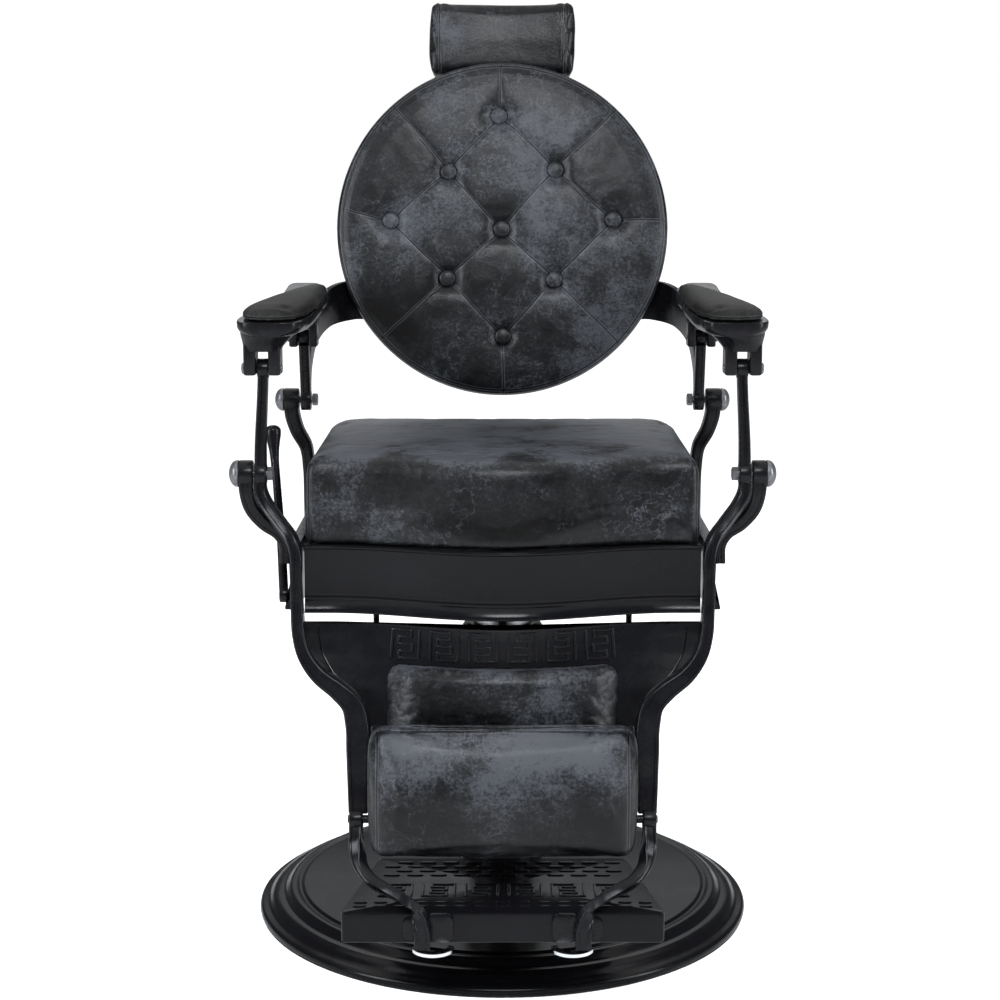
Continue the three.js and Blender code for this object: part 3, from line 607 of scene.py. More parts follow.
ply_tones = [(0.3, (0.02, 0.014, 0.01)), (0.7, (0.045, 0.03, 0.02))]
plywood = mottled("birch_ply", 9, 8, ply_tones, 0.6, grain=0.7, stretch=(1, 14, 60))
board_low, board_high = box_mm("seat_board")
board = eased_block(board_low.x, board_high.x, board_low.y, board_high.y, board_low.z, board_high.z, 2)
make_piece("seat_base_board", [board], plywood, "seat", ["seat_board"])

strut_low, strut_high = box_mm("recline_strut")
strut = eased_block(strut_low.x, strut_high.x, strut_low.y, strut_high.y, strut_low.z, strut_high.z, 1.5)
make_piece("hanging_strut", [strut], black_paint, "seat", ["recline_strut"])
SIDES = ((1, "left"), (-1, "right"))
for side, word in SIDES:
    rod_low, rod_high = box_mm("stop_rod_" + word)
    rod_x, rod_y = (rod_low.x + rod_high.x) / 2, (rod_low.y + rod_high.y) / 2
    rod_line = rounded([(0, rod_low.z), (4, rod_low.z), (4, rod_high.z), (0, rod_high.z)], 1, 3)
    rod = moved(revolve(rod_line, 24), shift=(rod_x, rod_y, 0))
    collar = revolve([(0, 549), (7, 549), (7, 553.5), (0, 553.5), (0, 549)], 6)
    collar = moved(collar, shift=(rod_x, rod_y, 0))
    make_piece(
        "hanging_rod_" + word, [rod, collar], black_paint, "seat", ["stop_rod_" + word]
    )

# ---- Seat apron ----
# Four rolled steel strips round the seat's frame, satin black, with a lip along the top edge
# and a double bead above the bottom one. The front strip bows forward in the middle.
apron_low, apron_high = box_mm("apron_front")
apron_top = apron_high.z
lip = [(-13, 0), (0.2, 0), (1.8, -1), (2.4, -2.6), (2, -4.4), (0.5, -5.8), (0, -7.5)]
bead = [(0, -64.5), (1, -66), (2.8, -67.4), (3.5, -69.6), (3.2, -72), (2, -73.8), (1.6, -75.5)]
foot = [(3, -77.2), (5, -80), (7.4, -84), (8.4, -87), (8.2, -89.2), (7, -90), (-5, -90), (-13, -84)]
apron_section = [(out, apron_top + drop) for out, drop in lip + bead + foot]
bow_depth = 50
bow_reach = 230


def bow(x):
    """How far the front swells forward at x."""
    return bow_depth * (0.5 + 0.5 * math.cos(math.pi * min(abs(x) / bow_reach, 1)))


def moulded_strip(line, outward):
    """The apron's section drawn along a line of (x, y) places, facing outward."""
    rings = []
    for (x, y), (nx, ny) in zip(line, outward):
        rings.append([(x + nx * out, y + ny * out, z) for out, z in apron_section])
    return shell(rings)


front_xs = np.linspace(apron_low.x, apron_high.x, 121)
front_line = [(x, -240 - bow(x)) for x in front_xs]
front_strip = moulded_strip(front_line, [(0, -1)] * len(front_line))
make_piece("apron_front_strip", [front_strip], gloss_paint, "seat", ["apron_front"], 30)
rear_y = 165 + 13.3
rear_strip = moulded_strip([(x, rear_y) for x in np.linspace(-280, 280, 9)], [(0, 1)] * 9)
make_piece("apron_rear_strip", [rear_strip], gloss_paint, "seat", ["apron_rear"], 30)
for side, word in SIDES:
    strip = moulded_strip([(281, y) for y in np.linspace(-226, 165, 9)], [(1, 0)] * 9)
    make_piece(
        "apron_side_strip_" + word, [strip], gloss_paint, "seat", ["apron_side_" + word], 30,
        side
    )

# ---- Armrest and back horns with their pivot bolts ----
# Cast arms that rise from the seat frame to the front and rear pivots. Domed steel bolts hold them.
front_horn = [(340, -200, 664), (340, -200, 648), (334, -197, 624), (318, -193, 603)]
front_horn += [(299, -189, 588), (291, -187, 572), (291, -186, 548)]
rear_horn = [(313, 130, 724), (312.5, 131, 710), (306, 137, 684), (294, 146, 657)]
rear_horn += [(291, 150, 625), (291, 151, 585), (291, 151, 548)]
front_y, front_z = pivot("legrest_swing")
rear_pivot_y, rear_pivot_z = pivot("recline")
bolt_grey = mottled(
    "pivot_bolt_grey", 120, 4, [(0.3, (0.12, 0.12, 0.125)), (0.7, (0.2, 0.2, 0.21))], 0.34, 0.6
)


def x_turned(profile, axis_place, segments=56):
    """A turned skin about an X axis through (y, z), from [radius, x] points."""
    return moved(revolve(profile, segments), [(0, 0, 1), (0, 1, 0), (-1, 0, 0)], (0, *axis_place))


def domed_head(x, radius, rise):
    """A washer face and a dome over it, from x outwards."""
    arc = [math.radians(a) for a in np.linspace(0, 90, 9)]
    dome = [(radius * math.cos(a), x + 2.2 + (rise - 1.2) * math.sin(a)) for a in arc]
    return [(0, x), (radius - 0.8, x), (radius, x + 0.8), *dome[:-1], (0, dome[-1][1])]


for side, word in SIDES:
    front_arm = cast_bar(front_horn, (18, 18, 18, 17, 16, 15), (30, 30, 28, 27, 26, 26), ease=3)
    front_boss = drum((front_y, front_z), 331, 349.5, 18, 2)
    front_parts = [front_arm, front_boss]
    make_piece(
        "front_horn_arm_" + word, front_parts, black_paint, "seat",
        ["front_horn_" + word], 38, side
    )
    rear_arm = cast_bar(rear_horn, (21, 21, 19, 17, 15, 15), (28, 28, 27, 26, 26), ease=3)
    rear_boss = drum((rear_pivot_y, rear_pivot_z), 302, 324, 17, 2)
    rear_parts = [rear_arm, rear_boss]
    make_piece(
        "rear_horn_arm_" + word, rear_parts, black_paint, "seat", ["rear_horn_" + word],
        38, side
    )
    for end, place, head_x, head_r, nut_x in (
        ("front", (front_y, front_z), 349.8, 18, 304),
        ("rear", (rear_pivot_y, rear_pivot_z), 324.3, 17, 274),
    ):
        head = x_turned(domed_head(head_x, head_r, 12.5), place)
        core = drum(place, nut_x + 6, head_x + 1, 5)
        nut = x_turned([(0, nut_x), (7.8, nut_x), (9, nut_x + 1.2), (9, nut_x + 8), (0, nut_x + 8)], place, 6)
        bolt_nodes = ["%s_pivot_bolt_%s" % (end, word)]
        bolt_name = "%s_domed_bolt_%s" % (end, word)
        make_piece(bolt_name, [head, core, nut], bolt_grey, "seat", bolt_nodes, 38, side)

# ---- Recline lever ----
# A bent steel rod on the sitter's right with a turned black hand grip.
release_y, release_z = pivot("recline_release")
rod_path = [(-297, -169, 506), (-300, -162, 575), (-305, -152, 640), (-309, -141, 688)]


def round_bar(path, radii, count=60, sides=20):
    """A round bar along a path, its radius following the list."""
    centre, tangents = smooth_path(path, count)
    rings = []
    for i in range(count):
        t = tangents[i] / np.linalg.norm(tangents[i])
        across = np.cross(t, (0, 1, 0.03))
        across /= np.linalg.norm(across)
        up = np.cross(across, t)
        r = along(radii, i / (count - 1))
        spin = np.linspace(0, 2 * math.pi, sides, endpoint=False)
        rings.append([centre[i] + r * (across * math.cos(a) + up * math.sin(a)) for a in spin])
    return shell(rings)


rod_parts = [round_bar(rod_path, (6.4, 6, 5.6, 5.2)), drum((release_y, release_z), -302, -291, 11, 1.5)]
make_piece("recline_handle_rod", rod_parts, black_paint, "release", ["recline_rod"])
grip_path = [(-307.6, -145.5, 664), (-309.6, -139.6, 690), (-311, -135, 708), (-312, -131, 726)]
grip_radii = []
for t in np.linspace(0, 1, 120):
    tip = math.sqrt(max(1 - (max(t - 0.84, 0) / 0.16) ** 2, 0.0005))
    grip_radii.append(float(np.interp(t, (0, 0.2, 0.4, 0.6, 0.75, 0.9), (5.4, 5.9, 7, 9, 10.6, 11.1))) * tip)
grip = round_bar(grip_path, grip_radii, 120, 28)
make_piece("recline_handle_grip", [grip], black_paint, "release", ["recline_grip"])

# ---- Seat cushion ----
# A foam block in distressed charcoal leather with a bowed front, seams up the front corners and
# along the sides, and a sat-in top with fine wrinkles.


def worn_leather(name, dark, middle, light, grain_scale=1.0, shine=0.36, specular=0.3):
    """Distressed leather: cloudy tones, speckled grain and worn lines.

    The seam attribute gives its sewn lines, and the other attribute how far it is drawn lighter or darker:
    partly rubbed wear, partly painted light and shade."""
    material, tree, shader = new_material(name)
    link = tree.links.new

    def maths(kind, a, b=None):
        node = tree.nodes.new("ShaderNodeMath")
        node.operation = kind
        for socket, value in zip(node.inputs, (a, b)):
            if isinstance(value, (int, float)):
                socket.default_value = value
            elif value is not None:
                link(value, socket)
        return node.outputs[0]

    def covered_by(under, over, factor):
        mix = tree.nodes.new("ShaderNodeMix")
        mix.data_type = "RGBA"
        link(factor, mix.inputs["Factor"])
        link(under, mix.inputs["A"])
        mix.inputs["B"].default_value = (*over, 1)
        return mix.outputs["Result"]

    def attribute_value(attribute):
        read = tree.nodes.new("ShaderNodeAttribute")
        read.attribute_name = attribute
        return read.outputs["Fac"]

    def lighter(times):
        return tuple(min(1, times * part) for part in light)

    clouds = noise_node(tree, 8.5, 5, 0.62)
    drift = noise_node(tree, 3.1, 2, 0.5)
    grain = noise_node(tree, 260 * grain_scale, 5, 0.8)
    fibre = noise_node(tree, 120 * grain_scale, 5, 0.75, (1, 1, 1.6))
    tone = maths("ADD", maths("MULTIPLY", clouds, 0.52), maths("MULTIPLY", grain, 0.29))
    tone = maths("ADD", tone, maths("MULTIPLY", fibre, 0.19))
    # Painted light and shade mixed with rubbed wear: the second attribute lifts the tone for painted light
    # and wear, and lowers it for painted shade.
    tone = maths("ADD", tone, maths("MULTIPLY", attribute_value("wear_and_light"), 0.05))
    base_tone = ramp_node(tree, tone, [(0.43, dark), (0.505, middle), (0.585, light)])
    lines = ramp_node(tree, noise_node(tree, 34, 5, 0.6), [(0.487, 0), (0.5, 1), (0.513, 0)])
    rubbed = ramp_node(tree, noise_node(tree, 11, 3, 0.6), [(0.5, 0), (0.66, 0.55)])
    worn = maths("MULTIPLY", lines, rubbed)
    scuffed = covered_by(base_tone, lighter(2.1), worn)
    seam_share = maths("DIVIDE", maths("ABSOLUTE", attribute_value("seam")), 4.0)
    groove = ramp_node(tree, seam_share, [(0.08, 1), (0.3, 0)])
    edge_rub = ramp_node(tree, seam_share, [(0.28, 0), (0.42, 0.42), (0.62, 0)])
    lit_edge = covered_by(scuffed, lighter(2.4), edge_rub)
    link(covered_by(lit_edge, (0.002, 0.002, 0.002), groove), shader.inputs["Base Color"])

    polish = maths("ADD", maths("MULTIPLY", tone, 0.35), maths("MULTIPLY", drift, 0.16))
    link(ramp_node(tree, polish, [(0.2, shine - 0.06), (0.33, shine + 0.12)]), shader.inputs["Roughness"])
    shader.inputs["Specular IOR Level"].default_value = specular
    pebble = tree.nodes.new("ShaderNodeTexVoronoi")
    pebble.inputs["Scale"].default_value = 620 * grain_scale
    link(tree.nodes.new("ShaderNodeTexCoord").outputs["Object"], pebble.inputs["Vector"])
    skin = bump_node(tree, pebble.outputs["Distance"], 0.16, 0.0005)
    skin = bump_node(tree, fibre, 0.28, 0.0009, skin)
    skin = bump_node(tree, noise_node(tree, 42, 3, 0.5), 0.22, 0.0035, skin)
    link(bump_node(tree, groove, -0.6, 0.0011, skin), shader.inputs["Normal"])
    return material


leather = worn_leather(
    "charcoal_leather", (0.0008, 0.0009, 0.001), (0.0085, 0.0092, 0.0105), (0.058, 0.062, 0.071)
)


def mesh_points(mesh):
    points = np.empty(len(mesh.vertices) * 3)
    mesh.vertices.foreach_get("co", points)
    return points.reshape(-1, 3) / MM


def point_normals(mesh):
    normals = np.empty(len(mesh.vertices) * 3)
    mesh.vertices.foreach_get("normal", normals)
    return normals.reshape(-1, 3)


def set_points(mesh, points):
    mesh.vertices.foreach_set("co", (np.asarray(points) * MM).ravel())
    mesh.update()


def relaxed(mesh, points, rounds):
    """The points after some rounds of moving each halfway to the middle of its neighbours."""
    ends = np.empty(len(mesh.edges) * 2, int)
    mesh.edges.foreach_get("vertices", ends)
    a, b = ends.reshape(-1, 2).T
    near = np.bincount(a, minlength=len(points)) + np.bincount(b, minlength=len(points))
    for _ in range(rounds):
        total = np.zeros_like(points)
        for axis in range(3):
            total[:, axis] += np.bincount(a, points[b, axis], len(points))
            total[:, axis] += np.bincount(b, points[a, axis], len(points))
        points = 0.5 * points + 0.5 * total / np.maximum(near, 1)[:, None]
    return points


def baked(holder):
    """The holder's mesh with its modifiers applied; the modifiers go."""
    mesh = bpy.data.meshes.new_from_object(holder.evaluated_get(bpy.context.evaluated_depsgraph_get()))
    holder.modifiers.clear()
    holder.data = mesh
    return mesh


def stuffed(name, source, voxel, shrink, cap, soften, held, pressure=4.0, steps=20):
    """A cushion swollen by cloth simulation from a slightly smaller copy of a plain solid.

    held gives the share of each point's move that is taken away, 1 where the cushion is fixed down."""
    if isinstance(source, str):
        plain = frame["nodes"][source].data.copy()
    else:
        plain = bpy.data.meshes.new(name)
        plain.from_pydata([tuple(np.asarray(point, float) * MM) for point in source[0]], [], source[1])
    holder = added(name, plain)
    points = mesh_points(holder.data)
    middle = (points.min(0) + points.max(0)) / 2
    half = (points.max(0) - points.min(0)) / 2
    set_points(holder.data, middle + (points - middle) * (1 - np.asarray(shrink) / half))
    remesh = holder.modifiers.new("remesh", "REMESH")
    remesh.mode = "VOXEL"
    remesh.voxel_size = voxel * MM
    mesh = baked(holder)
    start = relaxed(mesh, mesh_points(mesh), soften)
    set_points(mesh, start)
    hold = np.clip(held(start), 0, 1)
    pins = holder.vertex_groups.new(name="held")
    for index in np.nonzero(hold > 0.02)[0]:
        pins.add([int(index)], float(hold[index]), "REPLACE")
    cloth = holder.modifiers.new("stuffing", "CLOTH")
    cloth.settings.quality = 4
    cloth.settings.mass = 0.35
    cloth.settings.use_pressure = True
    cloth.settings.uniform_pressure_force = pressure
    cloth.settings.tension_stiffness = 18
    cloth.settings.compression_stiffness = 12
    cloth.settings.shear_stiffness = 10
    cloth.settings.bending_stiffness = 1.2
    cloth.settings.effector_weights.gravity = 0
    cloth.settings.vertex_group_mass = "held"
    for step in range(1, steps + 1):
        scene.frame_set(step)
    swollen = mesh_points(baked(holder))
    scene.frame_set(1)
    move = swollen - start
    length = np.linalg.norm(move, axis=1, keepdims=True)
    move *= np.minimum(1, cap / np.maximum(length, 1e-6))
    set_points(holder.data, start + move)
    finer = holder.modifiers.new("finer", "SUBSURF")
    finer.levels = 1
    baked(holder)
    holder.vertex_groups.clear()
    holder.data.name = name
    return holder


def smoothstep(low, high, value):
    t = np.clip((np.asarray(value, float) - low) / (high - low), 0, 1)
    return t * t * (3 - 2 * t)


def cloud(points, scale, offset=0.0):
    """Perlin noise from -1 to 1 at each point; scale is in 1/mm, one number or one for each axis."""
    spots = np.asarray(points) * scale + offset
    return np.array([noise.noise(Vector(spot)) for spot in spots])


def keep_value(mesh, name, values):
    """Keeps one number for each point of the mesh under a name."""
    kept = mesh.attributes.new(name, "FLOAT", "POINT")
    kept.data.foreach_set("value", (np.zeros(len(mesh.vertices)) + values).astype(np.float32))


def upholster(holder, material, body, nodes, seam, wear_and_light=0.0):
    """Gives a cushion its seam distances in mm, how far it is drawn lighter or darker (rubbed wear and
    painted light and shade), its leather and body, and hides the CAD nodes it stands for.
    """
    mesh = holder.data
    # Painted light and shade together with rubbed wear, kept for the leather's tone.
    keep_value(mesh, "wear_and_light", wear_and_light)
    keep_value(mesh, "seam", seam)
    mesh.shade_smooth()
    mesh.materials.clear()
    mesh.materials.append(material)
    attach(holder, body)
    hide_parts(*nodes)


def nearest(*distances):
    """The signed distance with the smallest size at each point."""
    table = np.array(np.broadcast_arrays(*distances))
    pick = np.abs(table).argmin(axis=0)
    return np.take_along_axis(table, pick[None], axis=0)[0]


NO_SEAM = 30.0
seat_low, seat_high = box_mm("seat_cushion")


def seat_held(points):
    under = 1 - smoothstep(seat_low.z + 3, seat_low.z + 16, points[:, 2])
    back_foot = smoothstep(seat_high.y - 20, seat_high.y - 6, points[:, 1]) * 0.5
    return np.maximum(under, back_foot)


def seat_ring(inset, z, rear_round=46):
    """The seat's outline: small front corners, a bowed front and well-rounded rear corners."""
    ring = []
    for x in np.linspace(-seat_half + 8, seat_half - 8, 61):
        ring.append((x, -240 - bow(x)))
    ring += [(seat_half - 2.4, -237.6), (seat_half, -232)]
    ring += [(seat_half, y) for y in np.linspace(-220, seat_high.y - rear_round, 24)]
    for a in np.radians(np.linspace(9, 81, 9)):
        ring.append(
            (seat_half - rear_round * (1 - math.cos(a)), seat_high.y - rear_round * (1 - math.sin(a)))
        )
    ring += [(x, seat_high.y) for x in np.linspace(seat_half - rear_round, rear_round - seat_half, 31)]
    for a in np.radians(np.linspace(81, 9, 9)):
        ring.append(
            (rear_round * (1 - math.cos(a)) - seat_half, seat_high.y - rear_round * (1 - math.sin(a)))
        )
    ring += [(-seat_half, y) for y in np.linspace(seat_high.y - rear_round, -220, 24)]
    ring += [(-seat_half, -232), (2.4 - seat_half, -237.6)]
    centre = np.array([0, -50.0])
    ring = np.array(ring)
    shrink = 1 - inset / np.array([seat_half, 205.0])
    return [(*point, z) for point in centre + (ring - centre) * shrink]


seat_half = seat_high.x
seat_levels = [
    (6, seat_low.z), (1.5, seat_low.z + 5), (0.3, 630), (1, 672), (3, 684), (7.5, 691.5), (14, 696)
]
seat_levels += [(24, 698.5), (60, 700), (120, 701), (170, 701.5)]
seat_source = shell([seat_ring(inset, z) for inset, z in seat_levels])
seat = stuffed("seat_leather_cushion", seat_source, 6, (0.8, 0.8, 0), 3, 2, seat_held)
points = mesh_points(seat.data)
normals = point_normals(seat.data)
x, y, z = points.T
swell = np.array([bow(value) for value in x])
front_gap = y - (-240 - swell)
on_top = smoothstep(0.55, 0.9, normals[:, 2])
sat = np.exp(-((x / 150) ** 2)) * np.exp(-(((y + 40) / 120) ** 2))
creased = np.exp(-(((x - 15) / 165) ** 2)) * np.exp(-(((front_gap - 62) / 42) ** 2))
folds = 1 - np.abs(cloud(points, (0.018, 0.085, 0.03), 3.1))
fine = 1 - np.abs(cloud(points, (0.045, 0.17, 0.05), 7.7))
faint = 1 - np.abs(cloud(points, (0.022, 0.06, 0.03), 21.3))
creased *= smoothstep(16, 42, front_gap)
lift = -2.2 * sat * on_top - on_top * creased * (2.4 * folds**6 + 1.1 * fine**5)
lift -= on_top * 0.8 * smoothstep(30, 60, front_gap) * faint**7
on_front = smoothstep(0.6, 0.9, -normals[:, 1])
lift += on_front * 1.2 * cloud(points, 0.011, 5.0)
side_seam = np.where(np.abs(normals[:, 0]) > 0.3, z - (seat_high.z - 12), NO_SEAM)
side_seam = np.where((y < seat_high.y - 20) & (np.abs(x) > 240) & (front_gap > 30), side_seam, NO_SEAM)
corner_seam = np.where((front_gap < 26) & (z < seat_high.z - 10), np.abs(x) - 255.5, NO_SEAM)
seat_seams = nearest(side_seam, corner_seam)
lift -= 1.3 * np.exp(-((seat_seams / 3.2) ** 2))
set_points(seat.data, points + normals * lift[:, None])
# Painted light and shade: the top is drawn lighter, partly as rubbed wear from sitting and partly as painted
# light from above, and the front face darker as painted shade.
seat_wear_and_light = 1.3 * on_top * smoothstep(4, 30, front_gap) - 0.45 * on_front
upholster(seat, leather, "seat", ["seat_cushion"], seat_seams, seat_wear_and_light)

# ---- Front levers ----
# Two long cast levers with raised edges. Each hangs from an armrest, swings on the front pivot
# and sweeps in and down to the flip rest's hinge.
lever_path = [(315, -200, 806), (316.5, -200, 775), (320, -200, 715), (321, -200, 672), (321, -201, 648)]
lever_path += [(312, -208, 629), (294, -224, 608), (277, -240, 588), (271, -247, 567), (271, -250, 530)]
lever_path += [(270, -253, 497), (267, -262, 465), (258, -271, 439), (240, -280, 416), (214, -288, 397)]
lever_path += [(196, -294, 379), (189.5, -303, 355), (188, -316, 318), (187, -332, 276), (187, -338, 247)]
lever_widths = (13, 13, 14, 15, 15, 15, 15, 15, 15, 16, 17, 19, 22, 26, 30, 30, 27, 24)
lever_depths = (20, 22, 26, 26, 26, 26, 26, 26, 26, 26, 26, 26, 24, 22, 20, 20, 20, 20)
front_pin = (-200, 810)
rear_pin = (110, 825)
flip_y, flip_z = pivot("footrest_flip")
for side, word in SIDES:
    shaft = cast_bar(lever_path, lever_widths, lever_depths, count=150, ease=2.6, bead=2.6, sink=1.3)
    eye = drum(front_pin, 307.5, 322.5, 13, 1.6, bore_radius=5.6)
    hub = drum((front_y, front_z), 313.5, 328.5, 17, 2, bore_radius=6.4)
    lever_parts = [shaft, eye, hub]
    make_piece(
        "leg_lever_" + word, lever_parts, black_paint, "legrest",
        ["front_lever_" + word], 34, side
    )

# ---- Leg panel ----
# A pressed panel between the levers, bowed like the apron, with a rib along each edge
# and six raised key squares under its top edge, three to each side and mirrored.
panel_low, panel_high = box_mm("leg_panel")


def lever_at(z):
    """The lever's centre line, x and y, at a height below the seat."""
    heights = [point[2] for point in lever_path][::-1]
    return [float(np.interp(z, heights, [point[axis] for point in lever_path][::-1])) for axis in (0, 1)]


def panel_front(part, z):
    """A point on the panel's face, part running from -1 to 1 across it."""
    edge_x, edge_y = lever_at(z)
    share = (z - panel_low.z) / (panel_high.z - panel_low.z)
    bulge = (0.1 + 0.9 * share) * bow(part * (edge_x - 3))
    return np.array([part * (edge_x - 3), edge_y + 14.5 - bulge, z])


def panel_at(x, z):
    return panel_front(x / (lever_at(z)[0] - 3), z)


panel_rings = []
for z in np.concatenate(
    [[panel_low.z], np.linspace(panel_low.z + 1.2, panel_high.z - 1.6, 66), [panel_high.z]]
):
    inset = 1.2 if z in (panel_low.z, panel_high.z) else 0
    face = [panel_front(part, z) + (0, inset, 0) for part in np.linspace(-1, 1, 97)]
    back_face = [point + (0, 7 - 2 * inset, 0) for point in face[::-1]]
    panel_rings.append(face + back_face)
panel_parts = [shell(panel_rings)]
for side in (-1, 1):
    rib = []
    for z in np.linspace(472, 322, 22):
        away = 26 - 12 * min(1, (472 - z) / 70)
        rib.append(panel_at(side * (lever_at(z)[0] - away), z) - (0, 0.4, 0))
    panel_parts.append(round_bar(rib, (1.7,), 90, 8))
make_piece("leg_panel_sheet", panel_parts, black_paint, "legrest", ["leg_panel"], 30)

key_turns = [
    (2, 2), (2, 38), (28, 38), (28, 29), (11, 29), (11, 20), (29, 20), (29, 11), (11, 11), (11, 2), (38, 2)
]
key_turns += [(38, 38)]


def key_bars(corner_x, corner_z, mirror, size=40.0):
    """Middle, length across and length up of each bar of one key square."""
    bars = []
    for (x0, z0), (x1, z1) in zip(key_turns, key_turns[1:]):
        middle_x, middle_z = (x0 + x1) / 2, (z0 + z1) / 2
        if mirror:
            middle_x = 40 - middle_x
        place = (corner_x + middle_x * size / 40, corner_z + middle_z * size / 40)
        bars.append((*place, (abs(x1 - x0) + 3.4) * size / 40, (abs(z1 - z0) + 3.4) * size / 40))
    return bars


bar_seed = eased_block(-0.5, 0.5, -0.5, 0.5, -0.5, 0.5, 0.16)
bar_spots, bar_turns, bar_sizes = [], [], []
for square in range(6):
    corner_x = -147.5 + 51 * square
    for bar_x, bar_z, wide, tall in key_bars(corner_x, 435, square > 2):
        spot = panel_at(bar_x, bar_z)
        slope = (panel_at(bar_x + 1, bar_z)[1] - panel_at(bar_x - 1, bar_z)[1]) / 2
        lean = (panel_at(bar_x, bar_z + 1)[1] - panel_at(bar_x, bar_z - 1)[1]) / 2
        bar_spots.append(spot - (0, 0.6, 0))
        bar_turns.append((-math.atan(lean), 0, math.atan(slope)))
        bar_sizes.append((wide, 3.2, tall))
copies(
    "leg_panel_keys", bar_seed, bar_spots, bar_turns, bar_sizes, black_paint, "legrest"
)

# ---- Calf pad ----
# A low foam pad on the leg panel in the same leather, with rounded ends and a sewn edge.
calf_low, calf_high = box_mm("calf_pad")


def calf_held(points):
    behind = np.array([panel_at(px, pz)[1] - 3 for px, _, pz in points])
    return 1 - smoothstep(3, 12, behind - points[:, 1])


def cornered(points, half_x, z0, z1, radius):
    """Draws in the points past a rounded corner in the front view."""
    x, _, z = points.T
    hub_x = np.sign(x) * (half_x - radius)
    hub_z = np.where(z > (z0 + z1) / 2, z1 - radius, z0 + radius)
    past = (np.abs(x) > half_x - radius) & ((z > z1 - radius) | (z < z0 + radius))
    reach = np.hypot(x - hub_x, z - hub_z)
    pull = np.where(past & (reach > radius), radius / np.maximum(reach, 1e-6), 1)
    out = points.copy()
    out[:, 0] = hub_x + (x - hub_x) * pull
    out[:, 2] = hub_z + (z - hub_z) * pull
    return np.where(past[:, None], out, points)


calf = stuffed("calf_leather_pad", "calf_pad", 5, (-2, 0, -1), 3, 4, calf_held)
set_points(calf.data, cornered(mesh_points(calf.data), 151, calf_low.z - 1, calf_high.z + 1, 22))
points = mesh_points(calf.data)
normals = point_normals(calf.data)
lift = 0.7 * cloud(points, 0.02, 9.0) - 0.6 * (1 - np.abs(cloud(points, (0.03, 0.05, 0.08), 2.0))) ** 8
set_points(calf.data, points + normals * lift[:, None])
calf_edge = np.minimum(
    150 - np.abs(points[:, 0]), np.minimum(points[:, 2] - calf_low.z, calf_high.z - points[:, 2])
)
calf_seam = np.where(-normals[:, 1] > 0.2, NO_SEAM, calf_edge - 1.5)
upholster(calf, leather, "legrest", ["calf_pad"], calf_seam)

# ---- Flip rest ----
# A cast plate with a leather pad on one face and raised foot bars on the other.
# It turns over on two trunnions in the levers' lower ends.
flip_low, flip_high = box_mm("flip_pad")
flip_half = flip_high.x
flip_parts = [eased_block(-flip_half + 1, flip_half - 1, -361.5, -353, 207, 370, 2.5)]
for side in (-1, 1):
    ear = sorted((side * 152, side * (flip_half - 0.5)))
    flip_parts.append(eased_block(*ear, -356, -335.5, 229, 253, 3))
    trunnion = drum((flip_y, flip_z), 153, 200, 5.3, 1)
    flip_parts.append(moved(trunnion, np.diag((side, 1, 1))))
make_piece("flip_rest_plate", flip_parts, black_paint, "flip_rest", ["flip_tread"], 34)
bar_spots, bar_sizes = [], []
for row, row_z in enumerate((272, 292, 312, 332, 350)):
    for step in range(-5, 6):
        bar_spots.append((step * 29 + (row % 2) * 14 - 7, -352.6, row_z))
        bar_sizes.append((20, 2.4, 5))
no_turn = [(0, 0, 0)] * len(bar_spots)
copies(
    "flip_rest_foot_bars", bar_seed, bar_spots, no_turn, bar_sizes, black_paint, "flip_rest",
)


def flip_held(points):
    return smoothstep(-372, -364, points[:, 1])


flip = stuffed("flip_leather_pad", "flip_pad", 5, (-1.5, 0, -1), 3, 5, flip_held)
set_points(flip.data, cornered(mesh_points(flip.data), flip_half + 1, flip_low.z - 1, flip_high.z + 1, 24))
points = mesh_points(flip.data)
normals = point_normals(flip.data)
x, y, z = points.T
across = (z - (flip_low.z + flip_high.z) / 2) / ((flip_high.z - flip_low.z) / 2)
facing = smoothstep(0.3, 0.8, -normals[:, 1])
inner = 1 - np.clip(np.abs(x) / flip_half, 0, 1) ** 8
crown = facing * inner * (1 - np.clip(np.abs(across + 0.25) / 1.25, 0, 1) ** 2)
points[:, 1] -= 8 * crown - 19 * facing * smoothstep(-0.1, 1.15, across)
end_fold = np.exp(-(((np.abs(x) - (flip_half - 9)) / 5) ** 2)) * facing
lift = 1.1 * cloud(points, 0.013, 4.0) * facing - 1.3 * end_fold
set_points(flip.data, points + normals * lift[:, None])
flip_seam = np.where(normals[:, 1] < -0.1, np.abs(x) - (flip_half - 9), NO_SEAM)
# Painted light and shade: the upper half of the pad's face is drawn lighter as a painted highlight and the
# lower part darker as painted shade.
upper_half = smoothstep(-0.35, 0.45, across) * smoothstep(1.05, 0.75, across)
flip_painted_light = 0.95 * facing * inner * upper_half - 0.6 * smoothstep(0.1, -0.5, across)
upholster(flip, leather, "flip_rest", ["flip_pad"], flip_seam, flip_painted_light)

# ---- Step: two curved arms, patterned tread and glides ----
# The arms hang from the levers' hinge and are cast in one with rounded lugs on the tread's front.
# The tread has raised foot bars and keys on top. Small chrome glides keep it off the base.


def front_lug(x0, x1, z0, z1, front_y):
    """A flat lug with rounded corners on the tread's front, from its face back to the tread."""
    middle_x, middle_z = (x0 + x1) / 2, (z0 + z1) / 2
    rings = []
    for inset, y in ((1.6, front_y), (0.4, front_y + 0.5), (0, front_y + 1.8), (0, -427.3)):
        ring = rounded_ring((x1 - x0) / 2 - inset, (z1 - z0) / 2 - inset, 9, 0, 7)
        rings.append([(middle_x + px, y, middle_z + pz) for px, pz, _ in ring])
    return shell(rings)


